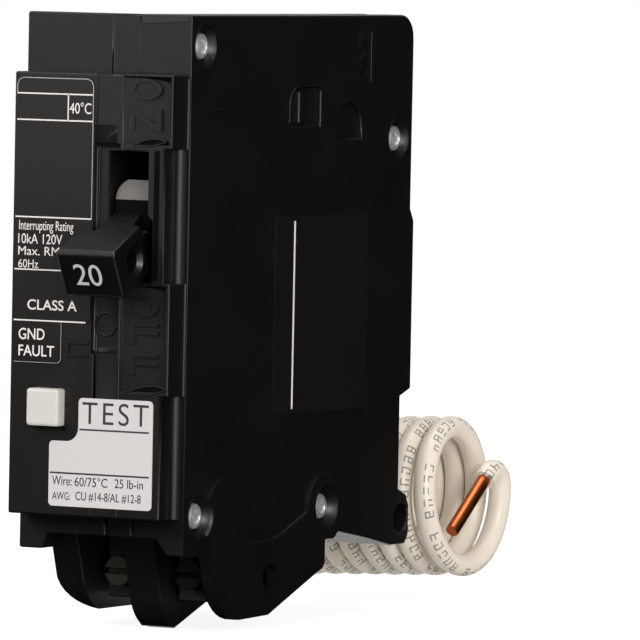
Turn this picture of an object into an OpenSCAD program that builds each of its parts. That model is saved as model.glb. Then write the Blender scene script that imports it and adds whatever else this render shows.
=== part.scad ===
// Plug-in ground-fault breaker, one inch wide, with a toggle handle, a test button and a coiled pigtail.
// X runs across the width, Y towards the panel and Z up. The origin is the middle of the rear seat.

/* [Case] */
// Width over the raised side panel
case_w = 25.4; // [25.4:0.1:25.8]
// Depth from the front shoulder to the rear seat
case_depth = 62.2; // [62:0.1:62.6]
// Height of the top above the middle of the rear seat
case_top = 39.8; // [39.4:0.1:40.6]
// Distance that the nose stands proud of the shoulder
nose_proud = 4; // [3.8:0.1:4.4]
// Thickness of the moulded walls
wall = 1.5; // [1.4:0.1:1.6]
// Height of the flat rear seat
seat_h = 23.1; // [22:0.1:24]
// Drop of the middle leg below the outer legs
leg_drop = 1.4; // [1:0.1:2]
// Radius of the hole in the rail foot
foot_hole_r = 2; // [1.6:0.1:2]
// Radius of the hole in the right leg
leg_hole_r = 2; // [1.5:0.1:2.2]

/* [Handle] */
// Length of the handle from its pin to its tip
handle_len = 18.3; // [17:0.1:18.5]
// Thickness of the handle
handle_t = 6.9; // [6:0.1:6.9]
// Angle of the handle below level when it is off
handle_rest = 26.6; // [26:0.1:27]
// Radius of the tie hole through the handle
tie_r = 1.5; // [1:0.1:1.7]

/* [Test button] */
// Side of the square button
button_w = 4.95; // [4.6:0.05:5]
// Distance that the button stands proud of the nose
button_proud = 1.6; // [1.5:0.1:2]

/* [Terminals] */
// Radius of the wire entry in each lug
entry_r = 2.3; // [1.8:0.1:2.4]
// Radius of the wire screws
screw_r = 2; // [1.6:0.1:2]

/* [Pigtail] */
// Diameter of the wire over its insulation
wire_d = 3.1; // [2.8:0.1:3.1]
// Diameter of the bare copper
copper_d = 1.9; // [1.6:0.05:2.1]
// Length of the bare copper
copper_len = 11.4; // [8:0.1:14]
// Radius of the coil at the middle of the wire
coil_r = 9.6; // [9.6:0.1:10]
// Advance of the coil for each loop
coil_pitch = 3.15; // [3.15:0.05:3.3]
// Number of whole loops in the coil
coil_loops = 7; // [4:1:7]

/* [Hidden] */
$fn = 48;

// Planes of the case
x_panel = case_w / 2;
x_left = -x_panel;
panel_proud = 0.4;
x_right = x_panel - panel_proud;
x_split_left = 0.5;
x_split_right = 4.5;
x_in_left = x_left + wall;
x_in_right = x_right - wall;
divider_t = 1.2;
x_divider = x_split_left + divider_t;
front_y = -case_depth;
nose_y = front_y - nose_proud;
nose_low = [-12.2, -26.5];
nose_high = [11.9, 31.9];
floor_z = -29.2;
rear_upper_y = -0.8;
rear_step_y = -3;
seat_half = seat_h / 2;
foot_hole = [-2.4, -29.3];
leg_hole = [-39.3, -35.3];
block_back_y = -57.5;
web_y = [-33.6, -32.1];
web_z = -37.4;

// Rivets, as depth and height
rivet_places = [[-58.5, 35.7], [-5, 22.9], [-58, -26.2], [-24, -26.6]];
rivet_r = 1.2;
rivet_bore_r = 1.35;
rivet_head_r = 1.75;
rivet_boss_r = 2.5;
rivet_sink_r = [2, 2.8];
rivet_sink = 1.2;
rivet_head_t = 0.8;

// Toggle and contacts
pivot = [-56.2, 13.5];
handle_x = [2.25, 7.3];
handle_head_x = [-0.85, 8];
handle_under = 3.1;
handle_hub_r = 4;
shield_x = [2.4, 7.6];
shield_r = 8.3;
shield_foot_r = 6.1;
shield_turn = [-59.5, -40];
shield_round = 2.6;
tie_at = [13.7, -0.2];
pin_r = 1;
run_gap = 0.05;
arm_pivot = [-44, 4];
arm_x = [7.6, 9];
arm_rest = 26;
arm_closed = 40;
arm_len = 26.3;
arm_half = 1.6;
arm_pin_r = 1.2;
contact_at = 24.5;
contact_r = 1.8;
contact_t = 1;
contact_gap = 0.05;
pin_left = x_divider - 0.6;
pin_right = x_in_right + 0.4;

// Trip parts
cradle_pivot = [-14, 8];
cradle_tip = [-29, 4.3];
cradle_x = [3, 5];
latch_pivot = [-30.5, -4];
latch_pin_r = 0.6;
trip_pivot = [-28, -4];
trip_pin_r = 0.7;
plunger_x = -4.6;
plunger_z = -11;

// Electronics
board_x = [-10.6, -9];
toroid_at = [-4, -43.4];
button_at = [-6.325, -12.2];
flange_y = nose_y + 1.3;

// Wire terminals, as the middle of each bay
neutral_x = -3;
hot_x = 7.75;
lug_half = 3;
lug_y = [-50, -40.5];
lug_z = [-38.2, floor_z];
screw_z = -34.5;
entry_y = -43.2;

// Pigtail route, as depth and height, where it isn't coiled
coil_y = 14.5;
coil_z = -27.1;
coil_x = -9.75;
coil_sag = 0.95;
exit_at = [-9.6, -31.9];
bushing_r = 2.2;
lead_route = [[-11.9, -29.6], [-8.2, -33.3], [-5.4, -35.6], [-2, -37.1], [2, -37.65]];
coil_open = 1.3;
coil_shrink = 1.2;
hook_r = 2.4;
hook_rise = 0.9;
hook_turn = 126;
hook_tail = 1.3;
loop_rings = 24;
coil_sides = 6;

// Points on an arc about c, from angle a0 to a1
function arc(c, r, a0, a1, n = 8) =
    [for (i = [0:n]) c + r * [cos(a0 + (a1 - a0) * i / n), sin(a0 + (a1 - a0) * i / n)]];

// Side outline of the closed case, as depth and height
case_outline = concat(
    [[front_y, floor_z], [front_y, case_top]],
    arc([rear_upper_y - 3, case_top - 3], 3, 90, 0),
    [[rear_upper_y, seat_half + 1.3], [0, seat_half], [0, -seat_half], [rear_step_y, -seat_half - 1]],
    [[rear_step_y, -25.2], [-0.8, -26.1], [0, -27.6], [0, -31.9], [-0.8, -32.9], [-4.8, -32.9]],
    [[-13.1, -31.3], [-24.3, -29.6], [-24.3, floor_z]]
);

// Hollow of the case
cavity_outline = [
    [front_y + wall, floor_z + wall], [front_y + wall, case_top - wall],
    [rear_upper_y - wall - 2, case_top - wall], [rear_upper_y - wall, case_top - wall - 2],
    [rear_upper_y - wall, seat_half + 0.8], [-wall, seat_half - 0.6], [-wall, -seat_half + 0.6],
    [rear_step_y - wall, -seat_half - 0.6], [rear_step_y - wall, floor_z + wall]
];

// Side outline of an outer leg
leg_outline = concat(
    [[-56.8, floor_z + 0.3]],
    arc([-47.5, -33], 7.5, 200, 270),
    [[-39.7, -40.3], [-25.6, -35.1]],
    arc([-25.6, -33.8], 1.3, -70, 0, 4),
    [[-24.3, floor_z + 0.3]]
);

// Side outline of the middle leg, whose lower edge rises towards the rear
middle_leg_outline = concat(
    [[-56.8, floor_z + 0.3]],
    arc([-48.2, -34.8 - leg_drop], 6.1, 190, 250),
    arc([-25.6, -31.2 - leg_drop / 2], 1.3, -70, 0, 4),
    [[-24.3, floor_z + 0.3]]
);

// Front section of the left leg, with its outer corner rounded off
left_leg_section = concat(
    [[-7.3, floor_z + 0.3], [-11.4, floor_z + 0.3]],
    arc([-6.3, -35], 5.1, 180, 258)
);

// A solid of constant section from x0 to x1, its section drawn as depth and height
module slice(x0, x1) {
    translate([x0, 0, 0]) rotate([90, 0, 90]) linear_extrude(x1 - x0) children();
}

// A solid of constant section from y0 to y1, its section drawn as width and height
module facing(y0, y1) {
    translate([0, y1, 0]) rotate([90, 0, 0]) linear_extrude(y1 - y0) children();
}

// A box between two corners
module block(low, high) {
    translate(low) cube(high - low);
}

// A round bar along X at a place given as depth and height
module bar_x(r, x0, x1, at) {
    translate([x0, at.x, at.y]) rotate([0, 90, 0]) cylinder(r = r, h = x1 - x0);
}

// A round bar along Y at a place given as width and height
module bar_y(r, y0, y1, at) {
    translate([at.x, y0, at.y]) rotate([-90, 0, 0]) cylinder(r = r, h = y1 - y0);
}

// A round bar between two points
module bar(r, a, b) {
    d = b - a;
    translate(a) rotate([0, acos(d.z / norm(d)), atan2(d.y, d.x)]) cylinder(r = r, h = norm(d));
}

function unit(v) = v / norm(v);

// Direction of a path at its i-th point
function along(path, i) = unit(path[min(i + 1, len(path) - 1)] - path[max(i - 1, 0)]);

// Ring points of a tube about a path that runs mostly square to the direction ref
function tube_points(path, r, sides, ref) = [
    for (i = [0:len(path) - 1])
        let (t = along(path, i), n = unit(ref - (ref * t) * t), b = cross(t, n))
            for (j = [0:sides - 1])
                let (a = 360 * (j + 0.5) / sides) path[i] + r * (cos(a) * n + sin(a) * b)
];

// Triangles of a closed tube of n rings
function tube_faces(n, s) = concat(
    [for (i = [0:n - 2], j = [0:s - 1]) [i * s + j, (i + 1) * s + j, (i + 1) * s + (j + 1) % s]],
    [for (i = [0:n - 2], j = [0:s - 1]) [i * s + j, (i + 1) * s + (j + 1) % s, i * s + (j + 1) % s]],
    [for (j = [1:s - 2]) [0, j, j + 1]],
    [for (j = [1:s - 2]) [(n - 1) * s, (n - 1) * s + j + 1, (n - 1) * s + j]]
);

module tube(path, r, sides, ref) {
    polyhedron(tube_points(path, r, sides, ref), tube_faces(len(path), sides));
}

// A path with each corner rounded off at a distance q from it
function rounded(p, q) = concat(
    [p[0]],
    [for (i = [1:len(p) - 2])
        let (a = p[i] + q * unit(p[i - 1] - p[i]), b = p[i] + q * unit(p[i + 1] - p[i]))
            for (s = [0:0.25:1]) (1 - s) * (1 - s) * a + 2 * s * (1 - s) * p[i] + s * s * b],
    [p[len(p) - 1]]
);

// A bent wire through a list of points
module wire(r, points, q) {
    tube(rounded(points, q), r, 8, [0.56, 0.73, 0.39]);
}

// A wound spring of n curls along Y from the origin
module spring(len_y, r, wire_r, curls) {
    steps = 8 * curls;
    path = [for (i = [0:steps]) [r * cos(45 * i), len_y * i / steps, r * sin(45 * i)]];
    tube(path, wire_r, coil_sides, [0, 1, 0]);
}

// The solid that one moulding of the case is cut from, between two planes
module case_blank(x0, x1) {
    slice(x0, x1) polygon(case_outline);
    block([max(x0, nose_low.x), nose_y, nose_low.y], [min(x1, nose_high.x), front_y + 0.5, nose_high.y]);
}

// Step by which the top of the two left mouldings lies under the right one
module top_step(x0, x1) {
    low = case_top - 0.6;
    slice(x0 - 1, x1) polygon([[front_y + 1, case_top + 1], [front_y + 1, case_top], [front_y + 5, low],
                               [1, low], [1, case_top + 1]]);
}

// Hollow with the rivet bosses left standing
module case_hollow(x0, x1) {
    difference() {
        slice(x0, x1) polygon(cavity_outline);
        for (p = rivet_places) bar_x(rivet_boss_r, x0 - 1, x1 + 1, p);
    }
}

// Dished sink for a rivet head, on the left with side -1 and on the right with side 1
module rivet_dish(side, at) {
    floor_x = side > 0 ? x_right - rivet_sink : x_left + rivet_sink;
    translate([floor_x, at.x, at.y]) rotate([0, 90 * side, 0])
        cylinder(r1 = rivet_sink_r[0], r2 = rivet_sink_r[1] + 0.4, h = rivet_sink + 0.6);
}

// Holes for the rivets and for the rail foot
module case_bores() {
    for (p = rivet_places) {
        bar_x(rivet_bore_r, x_left - 1, x_panel + 1, p);
        for (side = [-1, 1]) rivet_dish(side, p);
    }
    bar_x(foot_hole_r, x_left - 1, x_panel + 1, foot_hole);
}

// Shallow sink with rounded ends in the front of the nose
module nose_sink(x0, x1, z0, z1, depth) {
    slice(x0, x1) polygon(concat(
        [[nose_y - 1, z0]],
        arc([nose_y, z0 + depth], depth, -90, 0, 5),
        arc([nose_y, z1 - depth], depth, 0, 90, 5),
        [[nose_y - 1, z1]]
    ));
}

// Slot that the handle passes through, and the channel beside it with a ramp at its top
module handle_slot() {
    channel_d = 0.9;
    facing(nose_y - 1, front_y + wall + 0.1)
        polygon([[2, 4.7], [9, 4.7], [9, 12.7], [8.3, 13.4], [8.3, 21.8], [2, 21.8]]);
    nose_sink(0.1, 4, -5, 23, channel_d);
    slice(0.1, 4)
        polygon([[nose_y - 1, 21], [nose_y + channel_d, 21], [nose_y, 25.2], [nose_y - 1, 25.2]]);
}

module left_case() {
    hole = button_w / 2 + 0.12;
    pocket = button_w / 2 + 0.85;
    color("#1b1b1c") difference() {
        union() {
            difference() {
                case_blank(x_left, x_split_left);
                case_hollow(x_in_left, x_split_left + 1);
            }
            intersection() {
                slice(-12, -7.3) polygon(leg_outline);
                facing(-60, -20) polygon(left_leg_section);
            }
            block([-7.4, web_y[0], web_z], [x_split_left, web_y[1], floor_z + 0.3]);
            facing(front_y, block_back_y)
                polygon([[x_left, floor_z + 0.3], [x_left, -31.3], [-9.3, -31.3], [-8.3, floor_z + 0.3]]);
            for (y = [-52, -12], z = [-16, 29]) bar_x(1.5, x_in_left - 0.2, board_x[0], [y, z]);
        }
        case_bores();
        top_step(x_left, x_split_left + 1);
        handle_slot();
        block([button_at.x - hole, nose_y - 1, button_at.y - hole],
              [button_at.x + hole, front_y + 2, button_at.y + hole]);
        block([button_at.x - pocket, flange_y - 0.1, button_at.y - pocket],
              [button_at.x + pocket, front_y + 2, button_at.y + pocket]);
        block([-5.8, -44.2, floor_z - 1], [-3.9, -42.6, floor_z + wall + 0.5]);
        translate([coil_x, exit_at.x, exit_at.y]) rotate([-135, 0, 0])
            translate([0, 0, -8]) cylinder(r = bushing_r + run_gap, h = 12);
    }
}

module middle_case() {
    color("#171718") difference() {
        union() {
            difference() {
                case_blank(x_split_left, x_split_right);
                case_hollow(x_divider, x_split_right + 1);
            }
            slice(x_split_left, x_split_right) polygon(middle_leg_outline);
            intersection() {
                slice(-0.4, x_split_left + 0.1) polygon(middle_leg_outline);
                block([-1, -60, -45], [1, lug_y[0] - 0.6, floor_z - 0.05]);
            }
        }
        case_bores();
        top_step(x_split_left, x_split_right + 1);
        handle_slot();
        nose_sink(0.1, 4, -12, -4, 0.5);
        bar_x(pin_r + run_gap, pin_left, x_divider + 1, pivot);
        bar_x(arm_pin_r + run_gap, pin_left, x_divider + 1, arm_pivot);
        bar_x(pin_r + run_gap, pin_left, x_divider + 1, cradle_pivot);
        bar_x(latch_pin_r + run_gap, pin_left, x_divider + 1, latch_pivot);
        bar_x(trip_pin_r + run_gap, x_split_left - 1, pin_left, trip_pivot);
        block([0, -31.8, -15.6], [2.2, -27.6, -12.4]);
        bar_x(1.1, 0, 2.2, [-34.6, -23.4]);
        bar_x(1.1, 0, 2.2, [-43.4, -25]);
    }
}

// Raised skin over the right leg and round its two rivets
module leg_panel() {
    intersection() {
        slice(x_right - 0.3, x_panel) polygon(leg_outline);
        block([x_right - 1, -60, -45], [x_panel + 1, -20, -30.7]);
    }
    slice(x_right - 0.3, x_panel) polygon([[-37.7, -30.8], [-28.2, -27], [-25, -27], [-25, -30.8]]);
    intersection() {
        union() {
            bar_x(5.8, x_right - 0.3, x_panel, [-51, -27]);
            bar_x(4.8, x_right - 0.3, x_panel, [-24.1, -26.7]);
        }
        block([x_right - 1, -60, -31], [x_panel + 1, -15, -20]);
    }
}

module right_cover() {
    color("#141415") difference() {
        union() {
            difference() {
                case_blank(x_split_right, x_right);
                case_hollow(x_split_right - 1, x_in_right);
            }
            slice(10.9, x_right) polygon(leg_outline);
            leg_panel();
            block([x_split_right, web_y[0], web_z], [11, web_y[1], floor_z + 0.3]);
            facing(front_y, block_back_y)
                polygon([[7.9, floor_z + 0.3], [9.8, -31.3], [x_right, -31.3], [x_right, floor_z + 0.3]]);
            block([x_split_right, -36, floor_z + 1], [8, -33, -24.3]);
            bar_x(2.2, 7.5, x_in_right + 0.2, pivot);
            bar_x(2.4, 9.2, x_in_right + 0.2, arm_pivot);
            bar_x(1.6, 9.2, x_in_right + 0.2, latch_pivot);
            block([x_right - 0.2, -13.6, 30.6], [x_right + 0.25, -12.8, 37.4]);
        }
        case_bores();
        handle_slot();
        nose_sink(4.8, 11.2, -9.6, 4.2, 1.2);
        nose_sink(3.8, 11.5, 22.7, 31.6, 1.2);
        for (z = [[4.6, 22.2], [nose_low.y - 1, -10.2]])
            block([10.85, nose_y - 1, z[0]], [nose_high.x + 1, front_y - 0.3, z[1]]);
        bar_x(pin_r + run_gap, 7, pin_right, pivot);
        bar_x(arm_pin_r + run_gap, 9, pin_right, arm_pivot);
        bar_x(latch_pin_r + run_gap, 9, pin_right, latch_pivot);
        bar_x(leg_hole_r, 10, x_panel + 1, leg_hole);
        block([6.05, -44.2, floor_z - 1], [9.45, -42.6, floor_z + wall + 0.5]);
        block([6.3, -5, 27], [8.7, 1, case_top + 1]);
        block([6.3, -13, case_top - wall - 1], [8.7, 1, case_top + 1]);
        slice(x_right - 0.8, x_right + 1)
            polygon([[-35.6, 24.9], [-35.6, 28.7], [-34.1, 30.2], [-27.1, 30.2], [-27.1, 24.9]]);
        slice(x_right - 0.6, x_right + 1)
            polygon(concat([[-22.4, 23]], arc([-19, 24.6], 3.4, 180, 0), [[-15.6, 23]]));
    }
}

module case_rivets() {
    color("#c9ccce") for (p = rivet_places) difference() {
        union() {
            bar_x(rivet_r, x_left + rivet_sink, x_right - rivet_sink, p);
            bar_x(rivet_head_r, x_left + rivet_sink - rivet_head_t, x_left + rivet_sink, p);
            bar_x(rivet_head_r, x_right - rivet_sink, x_right - rivet_sink + rivet_head_t, p);
        }
        bar_x(0.7, x_right - rivet_sink - 1, x_right, p);
    }
}

module rating_label() {
    color("#232323") facing(nose_y - 0.12, nose_y)
        polygon([[-11.8, -1], [-0.6, -1], [0, -0.4], [0, 31.2], [-11.8, 31.2]]);
}

module test_label() {
    color("#dcdcda") facing(nose_y - 0.12, nose_y)
        polygon([[-5.9, -25.2], [9.8, -25.2], [9.8, -10.8], [-1.5, -10.8], [-1.5, -14.8], [-3.3, -16.6],
                 [-5.9, -16.6]]);
}

module side_label() {
    color("#0e0e0e") block([x_right, -38.8, -13.7], [x_right + 0.12, -13.3, 12.9]);
}

// Frame of the handle, with Y along its length from the pin
module at_handle() {
    translate([0, pivot.x, pivot.y]) rotate([180 + handle_rest, 0, 0]) children();
}

module handle() {
    under = handle_under;
    upper = under - handle_t;
    edge = 0.5;
    color("#101011") difference() {
        union() {
            bar_x(handle_hub_r, handle_x[0], handle_x[1], pivot);
            at_handle() intersection() {
                translate([0, 0, upper - 1]) linear_extrude(handle_t + 2)
                    polygon([[handle_x[0], 1.8], [handle_x[0], 11.7], [0.1, 13.05],
                             [handle_head_x[0] + 0.35, 14.4], [handle_head_x[0], handle_len],
                             [handle_head_x[1], handle_len], [handle_head_x[1], 10.6],
                             [handle_x[1] - 0.8, 9.9], [handle_x[1] - 0.8, 1.8]]);
                slice(-2, 9) polygon([[0, upper], [handle_len - edge, upper], [handle_len, upper + edge],
                                      [handle_len, under - edge], [handle_len - edge, under], [0, under]]);
            }
            at_handle() slice(shield_x[0], shield_x[1])
                polygon(concat(arc([0, 0], shield_r - 0.1, shield_turn[1] + 0.6, -10, 10),
                               arc([0, 0], pin_r + 2, -10, shield_turn[1] + 0.6, 4)));
        }
        bar_x(pin_r + run_gap, 0, 9, pivot);
        at_handle() bar_x(tie_r, -2, 9, tie_at);
        at_handle() translate([handle_head_x[1], tie_at.x, tie_at.y]) rotate([0, -90, 0])
            cylinder(r1 = 2.15, r2 = tie_r, h = 0.65);
    }
}

module arc_shield() {
    half = 1.8;
    corner = [shield_x[0] + shield_round, shield_round - half];
    color("#8d8c89") at_handle() intersection() {
        slice(shield_x[0], shield_x[1])
            polygon(concat(arc([0, 0], shield_r, shield_turn[0], shield_turn[1], 10),
                           arc([0, 0], shield_foot_r, shield_turn[1], shield_turn[0])));
        rotate([(shield_turn[0] + shield_turn[1]) / 2, 0, 0]) facing(shield_foot_r - 1, shield_r + 1)
            polygon(concat([[shield_x[1], half], [shield_x[1], -half]], arc(corner, shield_round, -90, -180),
                           [[shield_x[0], half]]));
    }
}

module handle_pin() {
    color("#b9bcbe") bar_x(pin_r, pin_left, pin_right, pivot);
}

// Frame of the contact arm at an angle, with Y along the arm from its pin
module at_arm(angle) {
    translate([0, arm_pivot.x, arm_pivot.y]) rotate([angle, 0, 0]) children();
}

module contact_arm() {
    color("#b06a3c") at_arm(arm_rest) difference() {
        union() {
            bar_x(2.6, arm_x[0], arm_x[1], [0, 0]);
            slice(arm_x[0], arm_x[1])
                polygon([[0, -2.2], [arm_len, -0.9], [arm_len, arm_half], [0, arm_half]]);
            bar_x(0.5, 5.6, arm_x[0] + 0.5, [12, 0]);
        }
        bar_x(arm_pin_r + run_gap, 5, 10, [0, 0]);
    }
}

module moving_contact() {
    color("#d8d8d8") at_arm(arm_rest) translate([8.3, contact_at, arm_half])
        cylinder(r = contact_r, h = contact_t);
}

module arm_pin() {
    color("#b9bcbe") bar_x(arm_pin_r, pin_left, pin_right, arm_pivot);
}

module cradle() {
    reach = cradle_tip - cradle_pivot;
    color("#9a9c9e") difference() {
        union() {
            bar_x(2.4, cradle_x[0] - 0.1, cradle_x[1] + 0.1, cradle_pivot);
            translate([0, cradle_pivot.x, cradle_pivot.y]) rotate([atan2(reach.y, reach.x), 0, 0])
                slice(cradle_x[0], cradle_x[1])
                    polygon([[1.5, -1.7], [norm(reach), -0.9], [norm(reach), 0.9], [1.5, 1.7]]);
            bar_x(0.5, cradle_x[1] - 0.5, 7, [-19, 6.8]);
        }
        bar_x(pin_r + run_gap, 2, 6, cradle_pivot);
    }
}

module cradle_pin() {
    color("#b9bcbe") bar_x(pin_r, pin_left, 6.2, cradle_pivot);
}

module main_spring() {
    from = [-32.2, 9.1];
    to = [-20, 7];
    color("#aeb1b3") translate([6.3, from.x, from.y])
        rotate([atan2(to.y - from.y, to.x - from.x), 0, 0]) spring(norm(to - from), 0.75, 0.2, 12);
}

module fixed_contact() {
    seat = arm_half + contact_t + contact_gap;
    color("#d8d8d8") at_arm(arm_closed) translate([8.3, contact_at, seat])
        cylinder(r = contact_r, h = contact_t);
}

module line_jaw() {
    seat = arm_half + 2 * contact_t + contact_gap;
    color("#b87333") {
        at_arm(arm_closed) block([6.8, 21, seat], [9.8, 36, seat + 1.2]);
        block([6.8, -20.4, 29.5], [9.4, -15.2, 30.9]);
        block([5.6, -16, 28], [9.4, -14.8, 36.2]);
        jaw_blades();
    }
}

// The two blades that grip the panel's stab, pinched together near their mouth
module jaw_blades() {
    for (side = [-1, 1]) translate([7.5, 0, 28]) linear_extrude(8.2)
        polygon([[1.9 * side, -15], [1.1 * side, -6.5], [1.9 * side, -4], [1.1 * side, -4],
                 [0.5 * side, -6.5], [1.1 * side, -15]]);
}

module jaw_spring() {
    color("#9fa3a6") {
        block([4.95, -17, 32], [10.05, -16.1, 35]);
        block([4.95, -17, 32], [5.45, -8.5, 35]);
        block([9.55, -17, 32], [10.05, -8.5, 35]);
    }
}

module arc_chute() {
    color("#8a7a64") for (x = [1.9, 10.1]) at_arm(0) slice(x, x + 0.5)
        polygon(concat(arc([0, 0], 33.4, 17, 37), arc([0, 0], 27.2, 37, 17)));
}

module arc_plates() {
    color("#7f8386") for (a = [20:5:35]) at_arm(a) block([2.4, 27.4, -0.35], [10.1, 33, 0.35]);
}

module bimetal() {
    color("#a89878") {
        block([4.4, -36.2, -24.3], [7.6, -35.4, -3]);
        block([4.4, -36.2, -24.3], [7.6, -33, -22.5]);
    }
}

module magnet_yoke() {
    color("#77797b") {
        block([2.8, -38.5, -16], [9.2, -37.3, -6]);
        for (x = [2.8, 8.4]) block([x, -38.5, -16], [x + 0.8, -33.2, -6]);
        block([5.2, -37.4, -12], [6.8, -36.2, -10]);
    }
}

module armature() {
    color("#85888a") difference() {
        union() {
            block([3, -31, -17], [9, -30, -4]);
            bar_x(1.1, 3, 9, latch_pivot);
            block([cradle_x[0], -31, -4], [cradle_x[1], -30, 2.6]);
        }
        bar_x(latch_pin_r + run_gap, 2, 10, latch_pivot);
    }
}

module armature_pin() {
    color("#b9bcbe") bar_x(latch_pin_r, pin_left, pin_right, latch_pivot);
}

module flexible_braid() {
    color("#b5652d") wire(0.6, [[9, -41.2, 5.4], [10, -41.2, 5.4], [10, -39, 0], [10, -35.8, -4.4],
                                [7.6, -35.8, -4.4]], 0.9);
}

module load_strap() {
    color("#b87333") block([6.25, -44, floor_z], [9.25, -42.8, -23.8]);
}

module hot_lead() {
    color("#202020") wire(0.8, [[4.4, -34.6, -23.4], [-2.9, -34.6, -23.4], [-2.9, -34.6, -5],
                                [-2.9, -43.4, -5], [-2.9, -43.4, -25], [6.25, -43.4, -25]], 1.5);
}

module circuit_board() {
    color("#2f6b3f") difference() {
        block([board_x[0], -57, -20], [board_x[1], -8, 33]);
        for (y = [-52, -12], z = [-16, 29]) bar_x(0.7, board_x[0] - 1, board_x[1] + 1, [y, z]);
    }
}

module controller_chip() {
    color("#2a2a2c") {
        block([-8.4, -41, 7], [-5.2, -31.4, 13.3]);
        for (i = [0:3], z = [6.4, 13.2]) block([-9, -40.1 + 2.54 * i, z], [-7, -39.6 + 2.54 * i, z + 0.7]);
    }
}

module capacitors() {
    color("#31435e") for (c = [[-22, 24, 3.2, 7.4], [-14, 15, 2.5, 6], [-22.5, 12, 2, 5]])
        difference() {
            bar_x(c[2], board_x[1], board_x[1] + c[3], [c[0], c[1]]);
            bar_x(c[2] * 0.8, board_x[1] + c[3] - 0.2, board_x[1] + c[3] + 1, [c[0], c[1]]);
        }
}

module thyristor() {
    color("#202022") {
        intersection() {
            bar_x(2.3, -7, -2.6, [-46, 14]);
            block([-8, -49, 10], [-2, -44.6, 18]);
        }
        for (i = [-1:1]) bar_x(0.25, board_x[1], -6.5, [-46.4, 14 + 1.27 * i]);
    }
}

module varistor() {
    color("#9c5a3a") {
        bar_y(3.8, -46, -43, [-4.6, 26]);
        for (s = [-1, 1]) bar_x(0.4, board_x[1], -7, [-44.5, 26 + 2 * s]);
    }
}

module resistors() {
    color("#b9a27a") for (z = [2:5:22]) {
        bar_y(1.1, -55, -49.4, [-7.4, z]);
        bar_y(0.3, -56, -48.4, [-7.4, z]);
        for (y = [-55.7, -48.7]) bar_x(0.3, board_x[1], -7.4, [y, z]);
    }
}

module toroid_bracket() {
    color("#3a3a3c") difference() {
        union() {
            block([board_x[1], -48, -21.2], [-8.4, -38.8, -8.4]);
            for (z = [-21.2, -14.7]) block([board_x[1], -48, z], [0.2, -38.8, z + 1.2]);
        }
        translate([toroid_at.x, toroid_at.y, -30]) cylinder(r = 2.5, h = 30);
    }
}

// A ring core with its winding, round the two conductors
module toroid(z0) {
    translate([toroid_at.x, toroid_at.y, z0]) rotate_extrude()
        polygon([[2.5, 0.5], [3, 0], [3.8, 0], [4.2, 0.5], [4.2, 4.5], [3.8, 5], [3, 5], [2.5, 4.5]]);
}

module sense_toroid() {
    color("#a3542f") toroid(-20);
}

module neutral_toroid() {
    color("#a3542f") toroid(-13.5);
}

module solenoid_frame() {
    color("#8f9294") difference() {
        union() {
            block([-8.4, -25.2, -15.8], [-0.8, -24, -7.2]);
            block([-8.4, -15, -15.8], [-0.8, -13.8, -7.2]);
            block([board_x[1], -25.2, -15.8], [-0.8, -13.8, -14.8]);
        }
        bar_y(1.65, -26, -23, [plunger_x, plunger_z]);
        bar_y(1.05, -16, -13, [plunger_x, plunger_z]);
    }
}

module solenoid_coil() {
    color("#a8572c") difference() {
        union() {
            bar_y(3.4, -24, -15, [plunger_x, plunger_z]);
            for (y = [-24, -15.8]) bar_y(3.75, y, y + 0.8, [plunger_x, plunger_z]);
        }
        bar_y(1.65, -25, -14, [plunger_x, plunger_z]);
    }
}

module solenoid_plunger() {
    color("#a4a7a9") {
        bar_y(0.8, -27.9, -26.4, [plunger_x, plunger_z]);
        bar_y(1.55, -26.5, -17, [plunger_x, plunger_z]);
        bar_y(0.95, -17.1, -8.6, [plunger_x, plunger_z]);
        bar_y(2.2, -9.4, -8.6, [plunger_x, plunger_z]);
    }
}

module plunger_spring() {
    color("#aeb1b3") translate([plunger_x, -13.5, plunger_z]) spring(3.8, 1.6, 0.25, 5);
}

module trip_bar() {
    color("#d9d6cc") difference() {
        union() {
            bar_x(1.5, -6.6, 0.2, trip_pivot);
            block([-6.6, -28.9, -15], [-2.6, -28.2, -3.6]);
            block([-6.6, -29.6, -14.6], [3.6, -28.2, -13.4]);
        }
        bar_x(trip_pin_r + run_gap, -8, 1, trip_pivot);
    }
}

module trip_pin() {
    color("#b9bcbe") bar_x(trip_pin_r, -7.4, pin_left, trip_pivot);
}

module test_button() {
    half = button_w / 2;
    flange = half + 0.65;
    color("#e9e8e4") {
        block([button_at.x - half, nose_y - button_proud, button_at.y - half],
              [button_at.x + half, flange_y + 0.4, button_at.y + half]);
        block([button_at.x - flange, flange_y, button_at.y - flange],
              [button_at.x + flange, flange_y + 0.8, button_at.y + flange]);
        bar_y(1.2, flange_y + 0.6, -59, button_at);
    }
}

module test_spring() {
    color("#aeb1b3") translate([button_at.x, flange_y + 1.1, button_at.y]) spring(5.4, 1.75, 0.22, 5);
}

module test_switch() {
    color("#c8b27a") difference() {
        block([board_x[1], -58, -14.2], [-4.2, -55, -10.2]);
        bar_y(1.4, -59, -54, button_at);
    }
}

// A wire lug, its entry from below and its screw from the front
module lug(x) {
    color("#c4c7c9") difference() {
        block([x - lug_half, lug_y[0], lug_z[0]], [x + lug_half, lug_y[1], lug_z[1]]);
        translate([x, entry_y, lug_z[0] - 1]) cylinder(r = entry_r, h = 8.6);
        bar_y(screw_r + 0.1, lug_y[0] - 1, entry_y, [x, screw_z]);
    }
}

module hot_lug() {
    lug(hot_x);
}

module neutral_lug() {
    lug(neutral_x);
}

// A headless slotted wire screw, backed out
module wire_screw(x) {
    head_y = -52.8;
    color("#d0d2d3") difference() {
        bar_y(screw_r, head_y, -46.3, [x, screw_z]);
        block([x - 3, head_y - 1, screw_z - 0.4], [x + 3, head_y + 1.1, screw_z + 0.4]);
    }
}

module hot_screw() {
    wire_screw(hot_x);
}

module neutral_screw() {
    wire_screw(neutral_x);
}

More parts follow.
